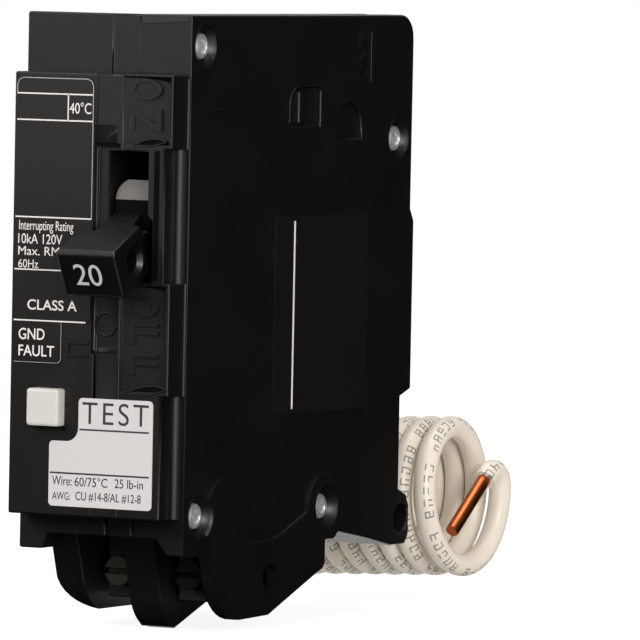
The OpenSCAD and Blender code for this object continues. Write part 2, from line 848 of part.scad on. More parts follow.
module hot_pad() {
    color("#b5893c") bar_y(screw_r - 0.2, -46.3, -45.6, [hot_x, screw_z]);
}

module neutral_pad() {
    color("#b5893c") bar_y(screw_r - 0.2, -46.3, -45.6, [neutral_x, screw_z]);
}

module neutral_strap() {
    color("#b87333") block([-5.6, -44, floor_z], [-4.1, -42.8, -5.6]);
}

module neutral_lead() {
    color("#e6e4de") wire(0.7, [[coil_x, -14, -27.5], [coil_x, -17, -24.5], [-7.4, -20, -22.5],
                                [-7, -37, -22.5], [-7, -37, -6.6], [-4.85, -39.4, -6.6],
                                [-4.85, -42.8, -6.6]], 1.4);
}

module pigtail_bushing() {
    color("#2b2b2d") translate([coil_x, exit_at.x, exit_at.y]) rotate([-135, 0, 0]) difference() {
        translate([0, 0, -6.2]) union() {
            cylinder(r = bushing_r, h = 6.8);
            translate([0, 0, 6.8]) cylinder(r1 = bushing_r, r2 = 1.9, h = 1);
        }
        translate([0, 0, -3.3]) cylinder(r = wire_d / 2 + run_gap, h = 6);
    }
}

module pigtail_lead() {
    path = [for (p = concat(lead_route, [[coil_start.y, coil_start.z]])) [coil_x, p.x, p.y]];
    color("#e8e6e0") tube(path, wire_d / 2, 8, [1, 0, 0]);
}

// A smooth step from 0 to 1
function ease(s) = let (c = max(0, min(1, s))) c * c * (3 - 2 * c);

// Middle of the wire at an angle round the coil, from the bottom
function coil_at(t) = let (
    wound = 360 * coil_loops,
    r = coil_r - coil_shrink * ease((t - wound) / 90)
) [
    coil_x + coil_pitch * t / 360 + coil_open * ease((t - wound + 220) / 270),
    coil_y + r * sin(t),
    coil_z - coil_sag * (1 - t / wound) - r * cos(t)
];

coil_start = coil_at(0) - [0, wire_d, 0];
coil_turn = [for (i = [0:loop_rings * (coil_loops + 0.25)]) coil_at(360 * i / loop_rings)];
coil_last = coil_turn[len(coil_turn) - 1];
hook_at = [coil_last.y - hook_r, coil_last.z + hook_rise];
hook_bend = [for (p = arc(hook_at, hook_r, 0, hook_turn, 9)) [coil_last.x, p.x, p.y]];
tip_way = [0, -sin(hook_turn), cos(hook_turn)];
tip_at = hook_bend[len(hook_bend) - 1] + hook_tail * tip_way;
coil_path = concat([coil_start], coil_turn, hook_bend, [tip_at]);

module pigtail_coil() {
    points = tube_points(coil_path, wire_d / 2, coil_sides, [1, 0, 0]);
    rings = len(coil_path);
    gap = min([
        for (i = [0:rings - loop_rings - 1], k = [loop_rings - 4:loop_rings + 4])
            for (a = [0:coil_sides - 1], b = [0:coil_sides - 1])
                norm(points[i * coil_sides + a] - points[min(i + k, rings - 1) * coil_sides + b])
    ]);
    echo(least_gap_of_the_coil_to_itself = gap);
    color("#e8e6e0") tube(coil_path, wire_d / 2, coil_sides, [1, 0, 0]);
}

module conductor_tip() {
    color("#b4602c") bar(copper_d / 2, tip_at, tip_at + copper_len * tip_way);
}

left_case();
middle_case();
right_cover();
case_rivets();
rating_label();
test_label();
side_label();
handle();
arc_shield();
handle_pin();
contact_arm();
moving_contact();
arm_pin();
cradle();
cradle_pin();
main_spring();
fixed_contact();
line_jaw();
jaw_spring();
arc_chute();
arc_plates();
bimetal();
magnet_yoke();
armature();
armature_pin();
flexible_braid();
load_strap();
hot_lead();
circuit_board();
controller_chip();
capacitors();
thyristor();
varistor();
resistors();
toroid_bracket();
sense_toroid();
neutral_toroid();
solenoid_frame();
solenoid_coil();
solenoid_plunger();
plunger_spring();
trip_bar();
trip_pin();
test_button();
test_spring();
test_switch();
hot_lug();
neutral_lug();
hot_screw();
neutral_screw();
hot_pad();
neutral_pad();
neutral_strap();
neutral_lead();
pigtail_bushing();
pigtail_lead();
pigtail_coil();
conductor_tip();
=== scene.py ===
"""Looks for a plug-in ground-fault breaker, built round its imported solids.

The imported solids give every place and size. This script rounds the moulded edges, prints the labels,
winds the white pigtail and gives every piece its finish. Sizes are millimetres unless a name says metres.
"""

from __future__ import annotations

import logging
import math
from dataclasses import dataclass, field
from enum import Enum
from typing import Callable, ClassVar, Iterable, Sequence

import bmesh
import bpy
from mathutils import Matrix, Vector

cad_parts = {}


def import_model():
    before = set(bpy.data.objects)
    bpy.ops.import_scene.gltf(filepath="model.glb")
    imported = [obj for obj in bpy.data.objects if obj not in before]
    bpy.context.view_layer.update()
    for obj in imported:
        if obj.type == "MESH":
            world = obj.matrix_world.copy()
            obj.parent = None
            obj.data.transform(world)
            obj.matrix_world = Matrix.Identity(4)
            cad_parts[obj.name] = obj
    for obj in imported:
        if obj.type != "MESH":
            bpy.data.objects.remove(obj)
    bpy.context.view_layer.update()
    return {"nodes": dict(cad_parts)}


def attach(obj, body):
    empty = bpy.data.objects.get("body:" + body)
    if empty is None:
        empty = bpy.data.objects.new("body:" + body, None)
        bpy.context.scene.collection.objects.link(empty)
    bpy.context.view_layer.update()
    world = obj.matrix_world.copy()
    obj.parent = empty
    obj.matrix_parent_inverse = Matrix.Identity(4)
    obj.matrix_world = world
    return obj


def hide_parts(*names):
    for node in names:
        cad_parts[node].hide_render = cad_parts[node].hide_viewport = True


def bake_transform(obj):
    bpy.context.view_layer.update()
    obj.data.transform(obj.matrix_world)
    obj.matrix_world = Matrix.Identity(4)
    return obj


LOG = logging.getLogger("breaker")
MM = 0.001
Colour = tuple[float, float, float]
Place = tuple[float, float, float]
Point2 = tuple[float, float]
Box2 = tuple[float, float, float, float]
Line = tuple[str, float, float, float, float]
# Directions of the shared frame, and the places of the nose's front and of the case's right side
X_WAY, Y_WAY, Z_WAY = Vector((1.0, 0.0, 0.0)), Vector((0.0, 1.0, 0.0)), Vector((0.0, 0.0, 1.0))
NOSE_Y = -66.2
RIGHT_X = 12.3
# How finely round and bent pieces are made
TUBE_SMOOTH_DEG = 80.0
CURL_STEPS = 20
CURL_FLAT_STEPS = 12
CORNER_STEPS = 8


class Body(Enum):
    """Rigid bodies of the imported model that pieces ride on."""

    CASE = "case"
    TOGGLE = "toggle"
    CONTACT = "contact"
    PLUNGER = "plunger"
    BUTTON = "button"
    HOT_CLAMP = "hot_clamp"
    HOT_DRIVER = "hot_driver"
    NEUTRAL_CLAMP = "neutral_clamp"
    NEUTRAL_DRIVER = "neutral_driver"


class Surface(Enum):
    """Ways in which a finish breaks up its colour and its gloss."""

    MOULDED = "moulded"
    METAL = "metal"
    WIRE = "wire"


def point(x: float, y: float, z: float) -> Vector:
    """Returns a place given in millimetres as a vector in metres."""
    return Vector((x, y, z)) * MM


def frame_at(origin: Vector, across: Vector, up: Vector) -> Matrix:
    """Makes the matrix of a drawing plane.

    Args:
        origin: Place of the plane's origin, in metres.
        across: Direction of the plane's X.
        up: Direction of the plane's Y.

    Returns:
        A matrix whose Z points out of the plane.
    """
    x, y = across.normalized(), up.normalized()
    z = x.cross(y)
    turn = Matrix((x, y, z)).transposed().to_4x4()
    return Matrix.Translation(origin) @ turn


def on_nose(lift: float = 0.0, x: float = 0.0, z: float = 0.0) -> Matrix:
    """Returns the drawing plane on the front of the nose, lifted off it, with its origin at x and z."""
    return frame_at(point(x, NOSE_Y - lift, z), X_WAY, Z_WAY)


def mesh_of(name: str, bm: bmesh.types.BMesh) -> bpy.types.Mesh:
    """Makes a mesh from a bmesh, which is freed."""
    mesh = bpy.data.meshes.new(name)
    bm.to_mesh(mesh)
    bm.free()
    return mesh


def placed(name: str, data: bpy.types.ID) -> bpy.types.Object:
    """Makes the object of a mesh, a camera or a lamp and puts it in the scene."""
    made = bpy.data.objects.new(name, data)
    bpy.context.scene.collection.objects.link(made)
    return made


class ShaderKit:
    """Node groups that several finishes share, each built once."""

    made: ClassVar[dict[str, bpy.types.NodeTree]] = {}

    @classmethod
    def group(cls, name: str, inputs: dict[str, str], outputs: Sequence[str],
              fill: Callable[[bpy.types.NodeTree, bpy.types.Node, bpy.types.Node], None]) -> bpy.types.NodeTree:
        """Builds a node group, or returns the one already built.

        Args:
            name: Name of the group.
            inputs: Names of the inputs, each with its socket type.
            outputs: Names of the outputs, which are plain values.
            fill: Function that adds the nodes between the group's two ends.

        Returns:
            The group's node tree.
        """
        if name not in cls.made:
            tree = bpy.data.node_groups.new(name, "ShaderNodeTree")
            for label, kind in inputs.items():
                tree.interface.new_socket(label, in_out="INPUT", socket_type=kind)
            for label in outputs:
                tree.interface.new_socket(label, in_out="OUTPUT", socket_type="NodeSocketFloat")
            fill(tree, tree.nodes.new("NodeGroupInput"), tree.nodes.new("NodeGroupOutput"))
            cls.made[name] = tree
        return cls.made[name]

    @staticmethod
    def feed(tree: bpy.types.NodeTree, value: bpy.types.NodeSocket | float | Sequence[float],
             socket: bpy.types.NodeSocket) -> None:
        """Links an output to an input, or sets the input to a plain value."""
        if isinstance(value, bpy.types.NodeSocket):
            tree.links.new(value, socket)
        else:
            socket.default_value = value

    @staticmethod
    def maths(tree: bpy.types.NodeTree, how: str, *values: bpy.types.NodeSocket | float) -> bpy.types.NodeSocket:
        """Adds a Math node.

        Args:
            tree: Tree that the node goes in.
            how: Blender's name of the operation.
            values: Sockets to link or numbers to set, in order.

        Returns:
            The node's output.
        """
        node = tree.nodes.new("ShaderNodeMath")
        node.operation = how
        for socket, value in zip(node.inputs, values):
            ShaderKit.feed(tree, value, socket)
        return node.outputs[0]

    @staticmethod
    def noise(tree: bpy.types.NodeTree, vector: bpy.types.NodeSocket, scale: bpy.types.NodeSocket | float,
              detail: float = 2.0) -> bpy.types.NodeSocket:
        """Adds a noise texture and returns its value, for a scale in waves to the metre."""
        node = tree.nodes.new("ShaderNodeTexNoise")
        node.inputs["Detail"].default_value = detail
        tree.links.new(vector, node.inputs["Vector"])
        ShaderKit.feed(tree, scale, node.inputs["Scale"])
        return node.outputs["Fac"]

    @classmethod
    def grain(cls) -> bpy.types.NodeTree:
        """Fine texture left by a spark-eroded mould, as a height and a cloudy gloss."""

        def fill(tree: bpy.types.NodeTree, start: bpy.types.Node, end: bpy.types.Node) -> None:
            """Adds the nodes of the grain."""
            fine = cls.noise(tree, start.outputs["Vector"], start.outputs["Scale"], 3.0)
            cloud = cls.noise(tree, start.outputs["Vector"], 90.0, 4.0)
            tree.links.new(fine, end.inputs["Height"])
            tree.links.new(cloud, end.inputs["Cloud"])

        return cls.group("mould_grain", {"Vector": "NodeSocketVector", "Scale": "NodeSocketFloat"},
                         ("Height", "Cloud"), fill)

    @classmethod
    def marks(cls) -> bpy.types.NodeTree:
        """Scattered specks and rubs from handling, as a mask."""

        def fill(tree: bpy.types.NodeTree, start: bpy.types.Node, end: bpy.types.Node) -> None:
            """Adds the nodes of the marks."""
            patch = cls.noise(tree, start.outputs["Vector"], 70.0, 3.0)
            speck = cls.noise(tree, start.outputs["Vector"], 900.0, 2.0)
            broad = cls.maths(tree, "SUBTRACT", patch, 0.52)
            small = cls.maths(tree, "SUBTRACT", speck, 0.60)
            both = cls.maths(tree, "MULTIPLY", cls.maths(tree, "MAXIMUM", broad, 0.0),
                             cls.maths(tree, "MAXIMUM", small, 0.0))
            much = cls.maths(tree, "MULTIPLY", both, start.outputs["Amount"])
            tree.links.new(cls.maths(tree, "MINIMUM", much, 1.0), end.inputs["Mask"])

        return cls.group("handling_marks", {"Vector": "NodeSocketVector", "Amount": "NodeSocketFloat"},
                         ("Mask",), fill)

    @classmethod
    def streaks(cls) -> bpy.types.NodeTree:
        """Drawing or rolling lines on metal, long along the stretched way."""

        def fill(tree: bpy.types.NodeTree, start: bpy.types.Node, end: bpy.types.Node) -> None:
            """Adds the nodes of the streaks."""
            scale = tree.nodes.new("ShaderNodeVectorMath")
            scale.operation = "MULTIPLY"
            tree.links.new(start.outputs["Vector"], scale.inputs[0])
            tree.links.new(start.outputs["Stretch"], scale.inputs[1])
            line = cls.noise(tree, scale.outputs[0], 1.0, 2.0)
            cloud = cls.noise(tree, start.outputs["Vector"], 260.0, 3.0)
            tree.links.new(line, end.inputs["Line"])
            tree.links.new(cloud, end.inputs["Cloud"])

        return cls.group("drawn_streaks", {"Vector": "NodeSocketVector", "Stretch": "NodeSocketVector"},
                         ("Line", "Cloud"), fill)

    @classmethod
    def wire_print(cls) -> bpy.types.NodeTree:
        """Rows of plain strokes stamped along a wire's insulation, as a mask."""
        strokes = ((0.08, 0.66, 0.86, 1.0), (0.08, 0.66, 0.43, 0.57), (0.08, 0.66, 0.0, 0.14), (0.08, 0.22, 0.5, 1.0),
                   (0.08, 0.22, 0.0, 0.5), (0.52, 0.66, 0.5, 1.0), (0.52, 0.66, 0.0, 0.5))
        left_out, least_facing, letter_rise = 0.34, 0.4, 1.15
        word_cells, word_share = 6.0, 0.8

        def fill(tree: bpy.types.NodeTree, start: bpy.types.Node, end: bpy.types.Node) -> None:
            """Adds the nodes of the stamped marks."""
            cell_at = cls.maths(tree, "DIVIDE", start.outputs["Along"], start.outputs["Pitch"])
            cell = cls.maths(tree, "FLOOR", cell_at)
            inside = cls.maths(tree, "FRACT", cell_at)
            height = cls.maths(tree, "MULTIPLY_ADD", start.outputs["Rise"], letter_rise, 0.5)
            marked: bpy.types.NodeSocket | float = 0.0
            for index, (left, right, low, high) in enumerate(strokes):
                seed = tree.nodes.new("ShaderNodeCombineXYZ")
                tree.links.new(cell, seed.inputs[0])
                seed.inputs[1].default_value = 7.3 * index + 1.7
                chance = tree.nodes.new("ShaderNodeTexWhiteNoise")
                tree.links.new(seed.outputs[0], chance.inputs["Vector"])
                stroke = cls.maths(tree, "GREATER_THAN", chance.outputs["Value"], left_out)
                for value, (near, far) in ((inside, (left, right)), (height, (low, high))):
                    offset = cls.maths(tree, "ABSOLUTE", cls.maths(tree, "SUBTRACT", value, (near + far) / 2))
                    stroke = cls.maths(tree, "MULTIPLY", stroke,
                                       cls.maths(tree, "LESS_THAN", offset, (far - near) / 2))
                marked = cls.maths(tree, "MAXIMUM", stroke, marked)
            face = cls.maths(tree, "GREATER_THAN", start.outputs["Facing"], least_facing)
            place = cls.maths(tree, "FRACT", cls.maths(tree, "DIVIDE", cell, word_cells))
            word = cls.maths(tree, "LESS_THAN", place, word_share)
            mask = cls.maths(tree, "MULTIPLY", cls.maths(tree, "MULTIPLY", marked, face), word)
            tree.links.new(mask, end.inputs["Mask"])

        kinds = {name: "NodeSocketFloat" for name in ("Along", "Rise", "Facing", "Pitch")}
        return cls.group("wire_print", kinds, ("Mask",), fill)


@dataclass(frozen=True)
class Finish:
    """One finish, which makes its material the first time that it is asked for."""

    name: str
    slot: str
    colour: Colour
    tint: Colour
    roughness: float
    surface: Surface = Surface.MOULDED
    spread: float = 0.12
    grain_scale: float = 2600.0
    grain_depth: float = 0.00002
    marks: float = 0.0
    mark_colour: Colour = (0.12, 0.115, 0.11)
    stretch: Colour = (300.0, 2600.0, 2600.0)
    specular: float = 0.5
    metallic: float = 1.0
    print_pitch: float = 1.5
    print_colour: Colour = (0.27, 0.26, 0.25)

    def group_node(self, tree: bpy.types.NodeTree, group: bpy.types.NodeTree,
                   vector: bpy.types.NodeSocket) -> bpy.types.Node:
        """Adds a group to the material and links its Vector input."""
        node = tree.nodes.new("ShaderNodeGroup")
        node.node_tree = group
        tree.links.new(vector, node.inputs["Vector"])
        return node

    def mixed(self, tree: bpy.types.NodeTree, mask: bpy.types.NodeSocket,
              first: bpy.types.NodeSocket | Colour, second: Colour) -> bpy.types.NodeSocket:
        """Adds a colour mix.

        Args:
            tree: The material's node tree.
            mask: Share of the second colour.
            first: Colour or colour socket where the mask is 0.
            second: Colour where the mask is 1.

        Returns:
            The mixed colour.
        """
        node = tree.nodes.new("ShaderNodeMix")
        node.data_type = "RGBA"
        tree.links.new(mask, node.inputs["Factor"])
        ShaderKit.feed(tree, first if isinstance(first, bpy.types.NodeSocket) else (*first, 1.0), node.inputs["A"])
        node.inputs["B"].default_value = (*second, 1.0)
        return node.outputs["Result"]

    def gloss(self, tree: bpy.types.NodeTree, cloud: bpy.types.NodeSocket, shader: bpy.types.Node) -> None:
        """Links a cloudy roughness about the finish's own."""
        rough = ShaderKit.maths(tree, "MULTIPLY_ADD", cloud, self.spread, self.roughness - self.spread / 2)
        tree.links.new(rough, shader.inputs["Roughness"])

    def bump(self, tree: bpy.types.NodeTree, height: bpy.types.NodeSocket, shader: bpy.types.Node) -> None:
        """Links a bump of the finish's grain depth."""
        node = tree.nodes.new("ShaderNodeBump")
        node.inputs["Distance"].default_value = self.grain_depth
        node.inputs["Strength"].default_value = 1.0
        tree.links.new(height, node.inputs["Height"])
        tree.links.new(node.outputs["Normal"], shader.inputs["Normal"])

    def material(self) -> bpy.types.Material:
        """Returns the finish's material, built on first use."""
        if self.name in bpy.data.materials:
            return bpy.data.materials[self.name]
        made = bpy.data.materials.new(self.name)
        made.use_nodes = True
        tree = made.node_tree
        shader = tree.nodes["Principled BSDF"]
        shader.inputs["Metallic"].default_value = self.metallic if self.surface is Surface.METAL else 0.0
        shader.inputs["Specular IOR Level"].default_value = self.specular
        coordinates = tree.nodes.new("ShaderNodeTexCoord").outputs["Object"]
        if self.surface is Surface.METAL:
            streak = self.group_node(tree, ShaderKit.streaks(), coordinates)
            streak.inputs["Stretch"].default_value = self.stretch
            colour = self.mixed(tree, streak.outputs["Cloud"], self.colour, self.tint)
            self.gloss(tree, streak.outputs["Line"], shader)
            self.bump(tree, streak.outputs["Line"], shader)
        else:
            grain = self.group_node(tree, ShaderKit.grain(), coordinates)
            grain.inputs["Scale"].default_value = self.grain_scale
            colour = self.mixed(tree, grain.outputs["Cloud"], self.colour, self.tint)
            self.gloss(tree, grain.outputs["Cloud"], shader)
            self.bump(tree, grain.outputs["Height"], shader)
        if self.marks:
            marks = self.group_node(tree, ShaderKit.marks(), coordinates)
            marks.inputs["Amount"].default_value = self.marks
            colour = self.mixed(tree, marks.outputs["Mask"], colour, self.mark_colour)
        if self.surface is Surface.WIRE:
            colour = self.stamped(tree, colour)
        tree.links.new(colour, shader.inputs["Base Color"])
        return made

    def stamped(self, tree: bpy.types.NodeTree, colour: bpy.types.NodeSocket) -> bpy.types.NodeSocket:
        """Adds the marks that are stamped along a wire and returns the new colour."""
        node = tree.nodes.new("ShaderNodeGroup")
        node.node_tree = ShaderKit.wire_print()
        node.inputs["Pitch"].default_value = self.print_pitch
        for name in ("Along", "Rise", "Facing"):
            reader = tree.nodes.new("ShaderNodeAttribute")
            reader.attribute_name = name.lower()
            tree.links.new(reader.outputs["Fac"], node.inputs[name])
        return self.mixed(tree, node.outputs["Mask"], colour, self.print_colour)


class Palette:
    """Every finish of the breaker."""

    CASE = Finish("case_black_moulding", "case_black", (0.0034, 0.0030, 0.0027), (0.0050, 0.0045, 0.0041), 0.40,
                  grain_scale=3200.0, grain_depth=0.000012, marks=2.2)
    HANDLE = Finish("handle_black_moulding", "handle_black", (0.0022, 0.0020, 0.0019), (0.0032, 0.0030, 0.0029), 0.34,
                    grain_scale=3600.0, grain_depth=0.000008)
    # Near-black matt sheets that paint the shade under the shield, in the window scoops and beside the slot.
    PAINTED_SHADE = Finish("painted_shade_matt_moulding", "handle_black", (0.0010, 0.0010, 0.0010), (0.0016, 0.0015, 0.0015), 0.85,
                  specular=0.08)
    SHIELD = Finish("shield_grey_moulding", "shield_grey", (0.135, 0.132, 0.126), (0.11, 0.107, 0.102), 0.55)
    FILM = Finish("label_black_film", "label_black", (0.0056, 0.0051, 0.0048), (0.0070, 0.0065, 0.0061), 0.36,
                  grain_scale=5200.0, grain_depth=0.000004)
    FILM_WHITE = Finish("label_white_film", "label_white", (0.545, 0.538, 0.540), (0.520, 0.512, 0.514), 0.42,
                        grain_scale=4200.0, grain_depth=0.000004)
    INK_WHITE = Finish("print_white_ink", "label_black", (0.72, 0.71, 0.69), (0.60, 0.59, 0.57), 0.5,
                       grain_scale=6000.0, grain_depth=0.000003)
    INK_BLACK = Finish("print_black_ink", "label_white", (0.018, 0.018, 0.018), (0.030, 0.030, 0.030), 0.5,
                       grain_scale=6000.0, grain_depth=0.000003)
    INK_SILVER = Finish("handle_silver_ink", "handle_black", (0.46, 0.46, 0.46), (0.34, 0.34, 0.34), 0.48,
                        grain_scale=7000.0, grain_depth=0.000006)
    BUTTON = Finish("button_white_moulding", "button_white", (0.545, 0.53, 0.505), (0.52, 0.505, 0.48), 0.38,
                    grain_depth=0.000006)
    ZINC = Finish("zinc_plate", "zinc_steel", (0.62, 0.63, 0.62), (0.50, 0.52, 0.51), 0.34, Surface.METAL,
                  stretch=(2600.0, 900.0, 900.0), grain_depth=0.000006, metallic=0.7)
    # Terminal screws darkened as painted shade of the deep bays between the legs; the hot screw, deeper in shade, is
    # almost black.
    NEUTRAL_SCREW_SHADED = Finish("neutral_screw_painted_shade", "zinc_steel", (0.115, 0.120, 0.095), (0.070, 0.074, 0.058), 0.42,
                           Surface.METAL, grain_depth=0.000012, metallic=0.8)
    HOT_SCREW_SHADED = Finish("hot_screw_painted_shade", "zinc_steel", (0.022, 0.021, 0.020), (0.014, 0.013, 0.013), 0.40, Surface.METAL,
                       grain_depth=0.000012, metallic=0.8)
    IRON = Finish("dull_iron", "soft_iron", (0.36, 0.37, 0.38), (0.29, 0.30, 0.31), 0.46, Surface.METAL,
                  grain_depth=0.000008)
    SPRING = Finish("spring_wire", "spring_steel", (0.50, 0.51, 0.52), (0.42, 0.43, 0.44), 0.32, Surface.METAL,
                    grain_depth=0.000004)
    # Tinned lugs darkened: painted shade of the bays between the legs.
    TIN_SHADED = Finish("tin_plate_painted_shade", "tinned_lug", (0.20, 0.205, 0.18), (0.15, 0.155, 0.135), 0.42, Surface.METAL,
                 grain_depth=0.000008)
    COPPER = Finish("bare_copper", "copper", (0.60, 0.17, 0.060), (0.44, 0.11, 0.038), 0.36, Surface.METAL,
                    stretch=(2400.0, 420.0, 420.0), spread=0.2, grain_depth=0.000012)
    SILVER = Finish("contact_silver_face", "contact_silver", (0.74, 0.74, 0.71), (0.66, 0.66, 0.63), 0.36,
                    Surface.METAL, grain_depth=0.000006)
    BRASS = Finish("pad_brass_face", "pad_brass", (0.58, 0.40, 0.15), (0.50, 0.34, 0.12), 0.38, Surface.METAL,
                   grain_depth=0.000006)
    BIMETAL = Finish("bimetal_strip_face", "bimetal_strip", (0.52, 0.46, 0.34), (0.44, 0.39, 0.29), 0.4,
                     Surface.METAL, grain_depth=0.000006)
    FIBRE = Finish("pressed_fibre", "fibre", (0.36, 0.28, 0.19), (0.29, 0.22, 0.15), 0.8, grain_scale=1500.0,
                   grain_depth=0.00004)
    BOARD = Finish("green_solder_mask", "board_green", (0.030, 0.150, 0.060), (0.040, 0.190, 0.080), 0.35,
                   grain_scale=1200.0, grain_depth=0.00001)
    EPOXY = Finish("dark_epoxy", "dark_component", (0.022, 0.022, 0.024), (0.032, 0.032, 0.034), 0.55)
    CAN = Finish("blue_sleeve", "can_blue", (0.045, 0.080, 0.190), (0.055, 0.095, 0.220), 0.35)
    COATED = Finish("dipped_coating", "coated_disc", (0.36, 0.13, 0.06), (0.30, 0.11, 0.05), 0.4)
    LACQUER = Finish("tan_lacquer", "resistor_tan", (0.55, 0.42, 0.25), (0.47, 0.36, 0.21), 0.4)
    SWITCH = Finish("tan_moulding", "switch_tan", (0.58, 0.46, 0.22), (0.52, 0.41, 0.20), 0.5)
    LEVER = Finish("ivory_moulding", "lever_ivory", (0.70, 0.67, 0.59), (0.64, 0.61, 0.54), 0.45)
    LEAD = Finish("black_insulation", "lead_black", (0.014, 0.014, 0.014), (0.020, 0.020, 0.020), 0.4)
    WHITE_LEAD = Finish("white_insulation", "lead_white", (0.74, 0.71, 0.65), (0.70, 0.665, 0.60), 0.36)
    WHITE_WIRE = Finish("stamped_white_insulation", "lead_white", (0.82, 0.755, 0.66), (0.77, 0.70, 0.60), 0.36,
                        Surface.WIRE, grain_scale=900.0, grain_depth=0.00001)


@dataclass(frozen=True)
class Zone:
    """A box of edges that are rounded by a width of their own, which is 0 where they stay sharp."""

    low: Place
    high: Place
    radius: float = 0.0

    def holds(self, edge: bmesh.types.BMEdge) -> bool:
        """Returns whether both ends of an edge lie in the box."""
        return all(low * MM <= value <= high * MM for vert in edge.verts
                   for low, value, high in zip(self.low, vert.co, self.high))


class Workshop:
    """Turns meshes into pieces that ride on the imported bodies."""

    weld: ClassVar[float] = 0.004
    flat_deg: ClassVar[float] = 0.6
    edge_deg: ClassVar[float] = 38.0
    room_share: ClassVar[float] = 0.42
    least_width: ClassVar[float] = 0.02
    rounded_smooth_deg: ClassVar[float] = 11.8

    def __init__(self, nodes: dict[str, bpy.types.Object]) -> None:
        """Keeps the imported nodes, by name."""
        self.nodes = nodes

    def piece(self, name: str, bm: bmesh.types.BMesh, finish: Finish = Palette.CASE, replaces: Sequence[str] = (),
              smooth_deg: float = 35.0, body: Body = Body.CASE) -> bpy.types.Object:
        """Makes a piece from a bmesh, which is freed.

        Args:
            name: Name of the piece.
            bm: The shape, in metres in the shared frame.
            finish: Its finish.
            replaces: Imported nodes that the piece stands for.
            smooth_deg: Edges sharper than this stay sharp.
            body: Body that the piece rides on.

        Returns:
            The piece's object.
        """
        return self.dress(name, mesh_of(name, bm), finish, replaces, smooth_deg, body)

    def dress(self, name: str, mesh: bpy.types.Mesh, finish: Finish = Palette.CASE, replaces: Sequence[str] = (),
              smooth_deg: float = 35.0, body: Body = Body.CASE) -> bpy.types.Object:
        """Makes a piece from a finished mesh, with the arguments and result of piece."""
        made = self.shaded(name, mesh, finish)
        mesh.set_sharp_from_angle(angle=math.radians(smooth_deg))
        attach(made, body.value)
        if replaces:
            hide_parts(*replaces)
        LOG.info("%s on %s, %d faces", name, body.value, len(mesh.polygons))
        return made

    @staticmethod
    def shaded(name: str, mesh: bpy.types.Mesh, finish: Finish) -> bpy.types.Object:
        """Makes the smooth object of a mesh in one finish."""
        mesh.materials.clear()
        mesh.materials.append(finish.material())
        mesh.shade_smooth()
        return placed(name, mesh)

    def bent(self, name: str, bm: bmesh.types.BMesh, finish: Finish, node: str) -> None:
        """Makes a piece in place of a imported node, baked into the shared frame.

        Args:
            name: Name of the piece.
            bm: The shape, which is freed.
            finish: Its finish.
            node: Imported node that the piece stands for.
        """
        made = self.shaded(name, mesh_of(name, bm), finish)
        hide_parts(node)
        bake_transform(made)

    def rounded_copy(self, node: str, name: str, body: Body, finish: Finish, radius: float,
                     segments: int = 3, zones: Sequence[Zone] = ()) -> bpy.types.Object:
        """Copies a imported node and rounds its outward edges.

        Args:
            node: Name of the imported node, which the copy replaces.
            name: Name of the new piece.
            body: Body that the piece rides on.
            finish: Its finish.
            radius: Width of the rounding, less where a face is narrow.
            segments: Faces across each rounded edge.
            zones: Boxes whose edges have a width of their own.

        Returns:
            The piece's object.
        """
        widest = max([radius, *(zone.radius for zone in zones)]) * MM
        bm = bmesh.new()
        bm.from_mesh(self.nodes[node].data)
        bmesh.ops.remove_doubles(bm, verts=bm.verts, dist=self.weld * MM)
        bmesh.ops.dissolve_degenerate(bm, edges=bm.edges, dist=self.weld * MM)
        bmesh.ops.dissolve_limit(bm, angle_limit=math.radians(self.flat_deg), verts=bm.verts, edges=bm.edges)
        weight = bm.edges.layers.float.new("bevel_weight_edge")
        sharp = math.radians(self.edge_deg)
        outward = {edge for edge in bm.edges if edge.is_convex and edge.calc_face_angle() > sharp}
        for edge in outward:
            asked = next((zone.radius for zone in zones if zone.holds(edge)), radius) * MM
            free = min(self.room_share * face_room(face, edge) for face in edge.link_faces)
            width = min(asked, free, corner_room(edge, outward))
            edge[weight] = width / widest if width > self.least_width * MM else 0.0
        made = self.piece(name, bm, finish, (node,), self.rounded_smooth_deg, body)
        bevel = made.modifiers.new("rounded_edges", "BEVEL")
        bevel.width = widest
        bevel.segments = segments
        bevel.limit_method = "WEIGHT"
        bevel.use_clamp_overlap = False
        bevel.harden_normals = True
        return made

    def finish_node(self, node: str, finish: Finish) -> None:
        """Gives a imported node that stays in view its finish."""
        mesh = self.nodes[node].data
        mesh.materials.clear()
        mesh.materials.append(finish.material())


def face_room(face: bmesh.types.BMFace, edge: bmesh.types.BMEdge) -> float:
    """Returns how far a face runs straight in from one of its edges, at its narrowest, in metres."""
    loop = next(loop for loop in edge.link_loops if loop.face is face)
    start = loop.vert.co
    span = loop.link_loop_next.vert.co - start
    along = span.normalized()
    inward = face.normal.cross(along)
    nearest = 1.0
    for corner in face.verts:
        offset = corner.co - start
        if 0.0 <= offset.dot(along) <= span.length and offset.dot(inward) > 0.01 * MM:
            nearest = min(nearest, offset.dot(inward))
    for other in face.edges:
        ends = [vert.co - start - span / 2 for vert in other.verts]
        before, after = (end.dot(along) for end in ends)
        if before * after < 0.0:
            depth = ends[0].lerp(ends[1], before / (before - after)).dot(inward)
            nearest = min(nearest, depth) if depth > 0.01 * MM else nearest
    return nearest


def corner_room(edge: bmesh.types.BMEdge, rounded: set[bmesh.types.BMEdge]) -> float:
    """Returns how wide an edge may be rounded before its ends cross their neighbours.

    Args:
        edge: Edge that is to be rounded.
        rounded: All the edges that are to be rounded.

    Returns:
        The widest rounding, in metres.
    """
    widest = 1.0
    for loop in edge.link_loops:
        for near, corner in ((loop.link_loop_prev, loop), (loop.link_loop_next, loop.link_loop_next)):
            other = near.edge
            angle = corner.calc_angle()
            if other in rounded:
                widest = min(widest, 0.45 * min(edge.calc_length(), other.calc_length()) * math.tan(angle / 2))
            else:
                widest = min(widest, 0.45 * other.calc_length() * max(math.sin(angle), 0.15))
    return widest


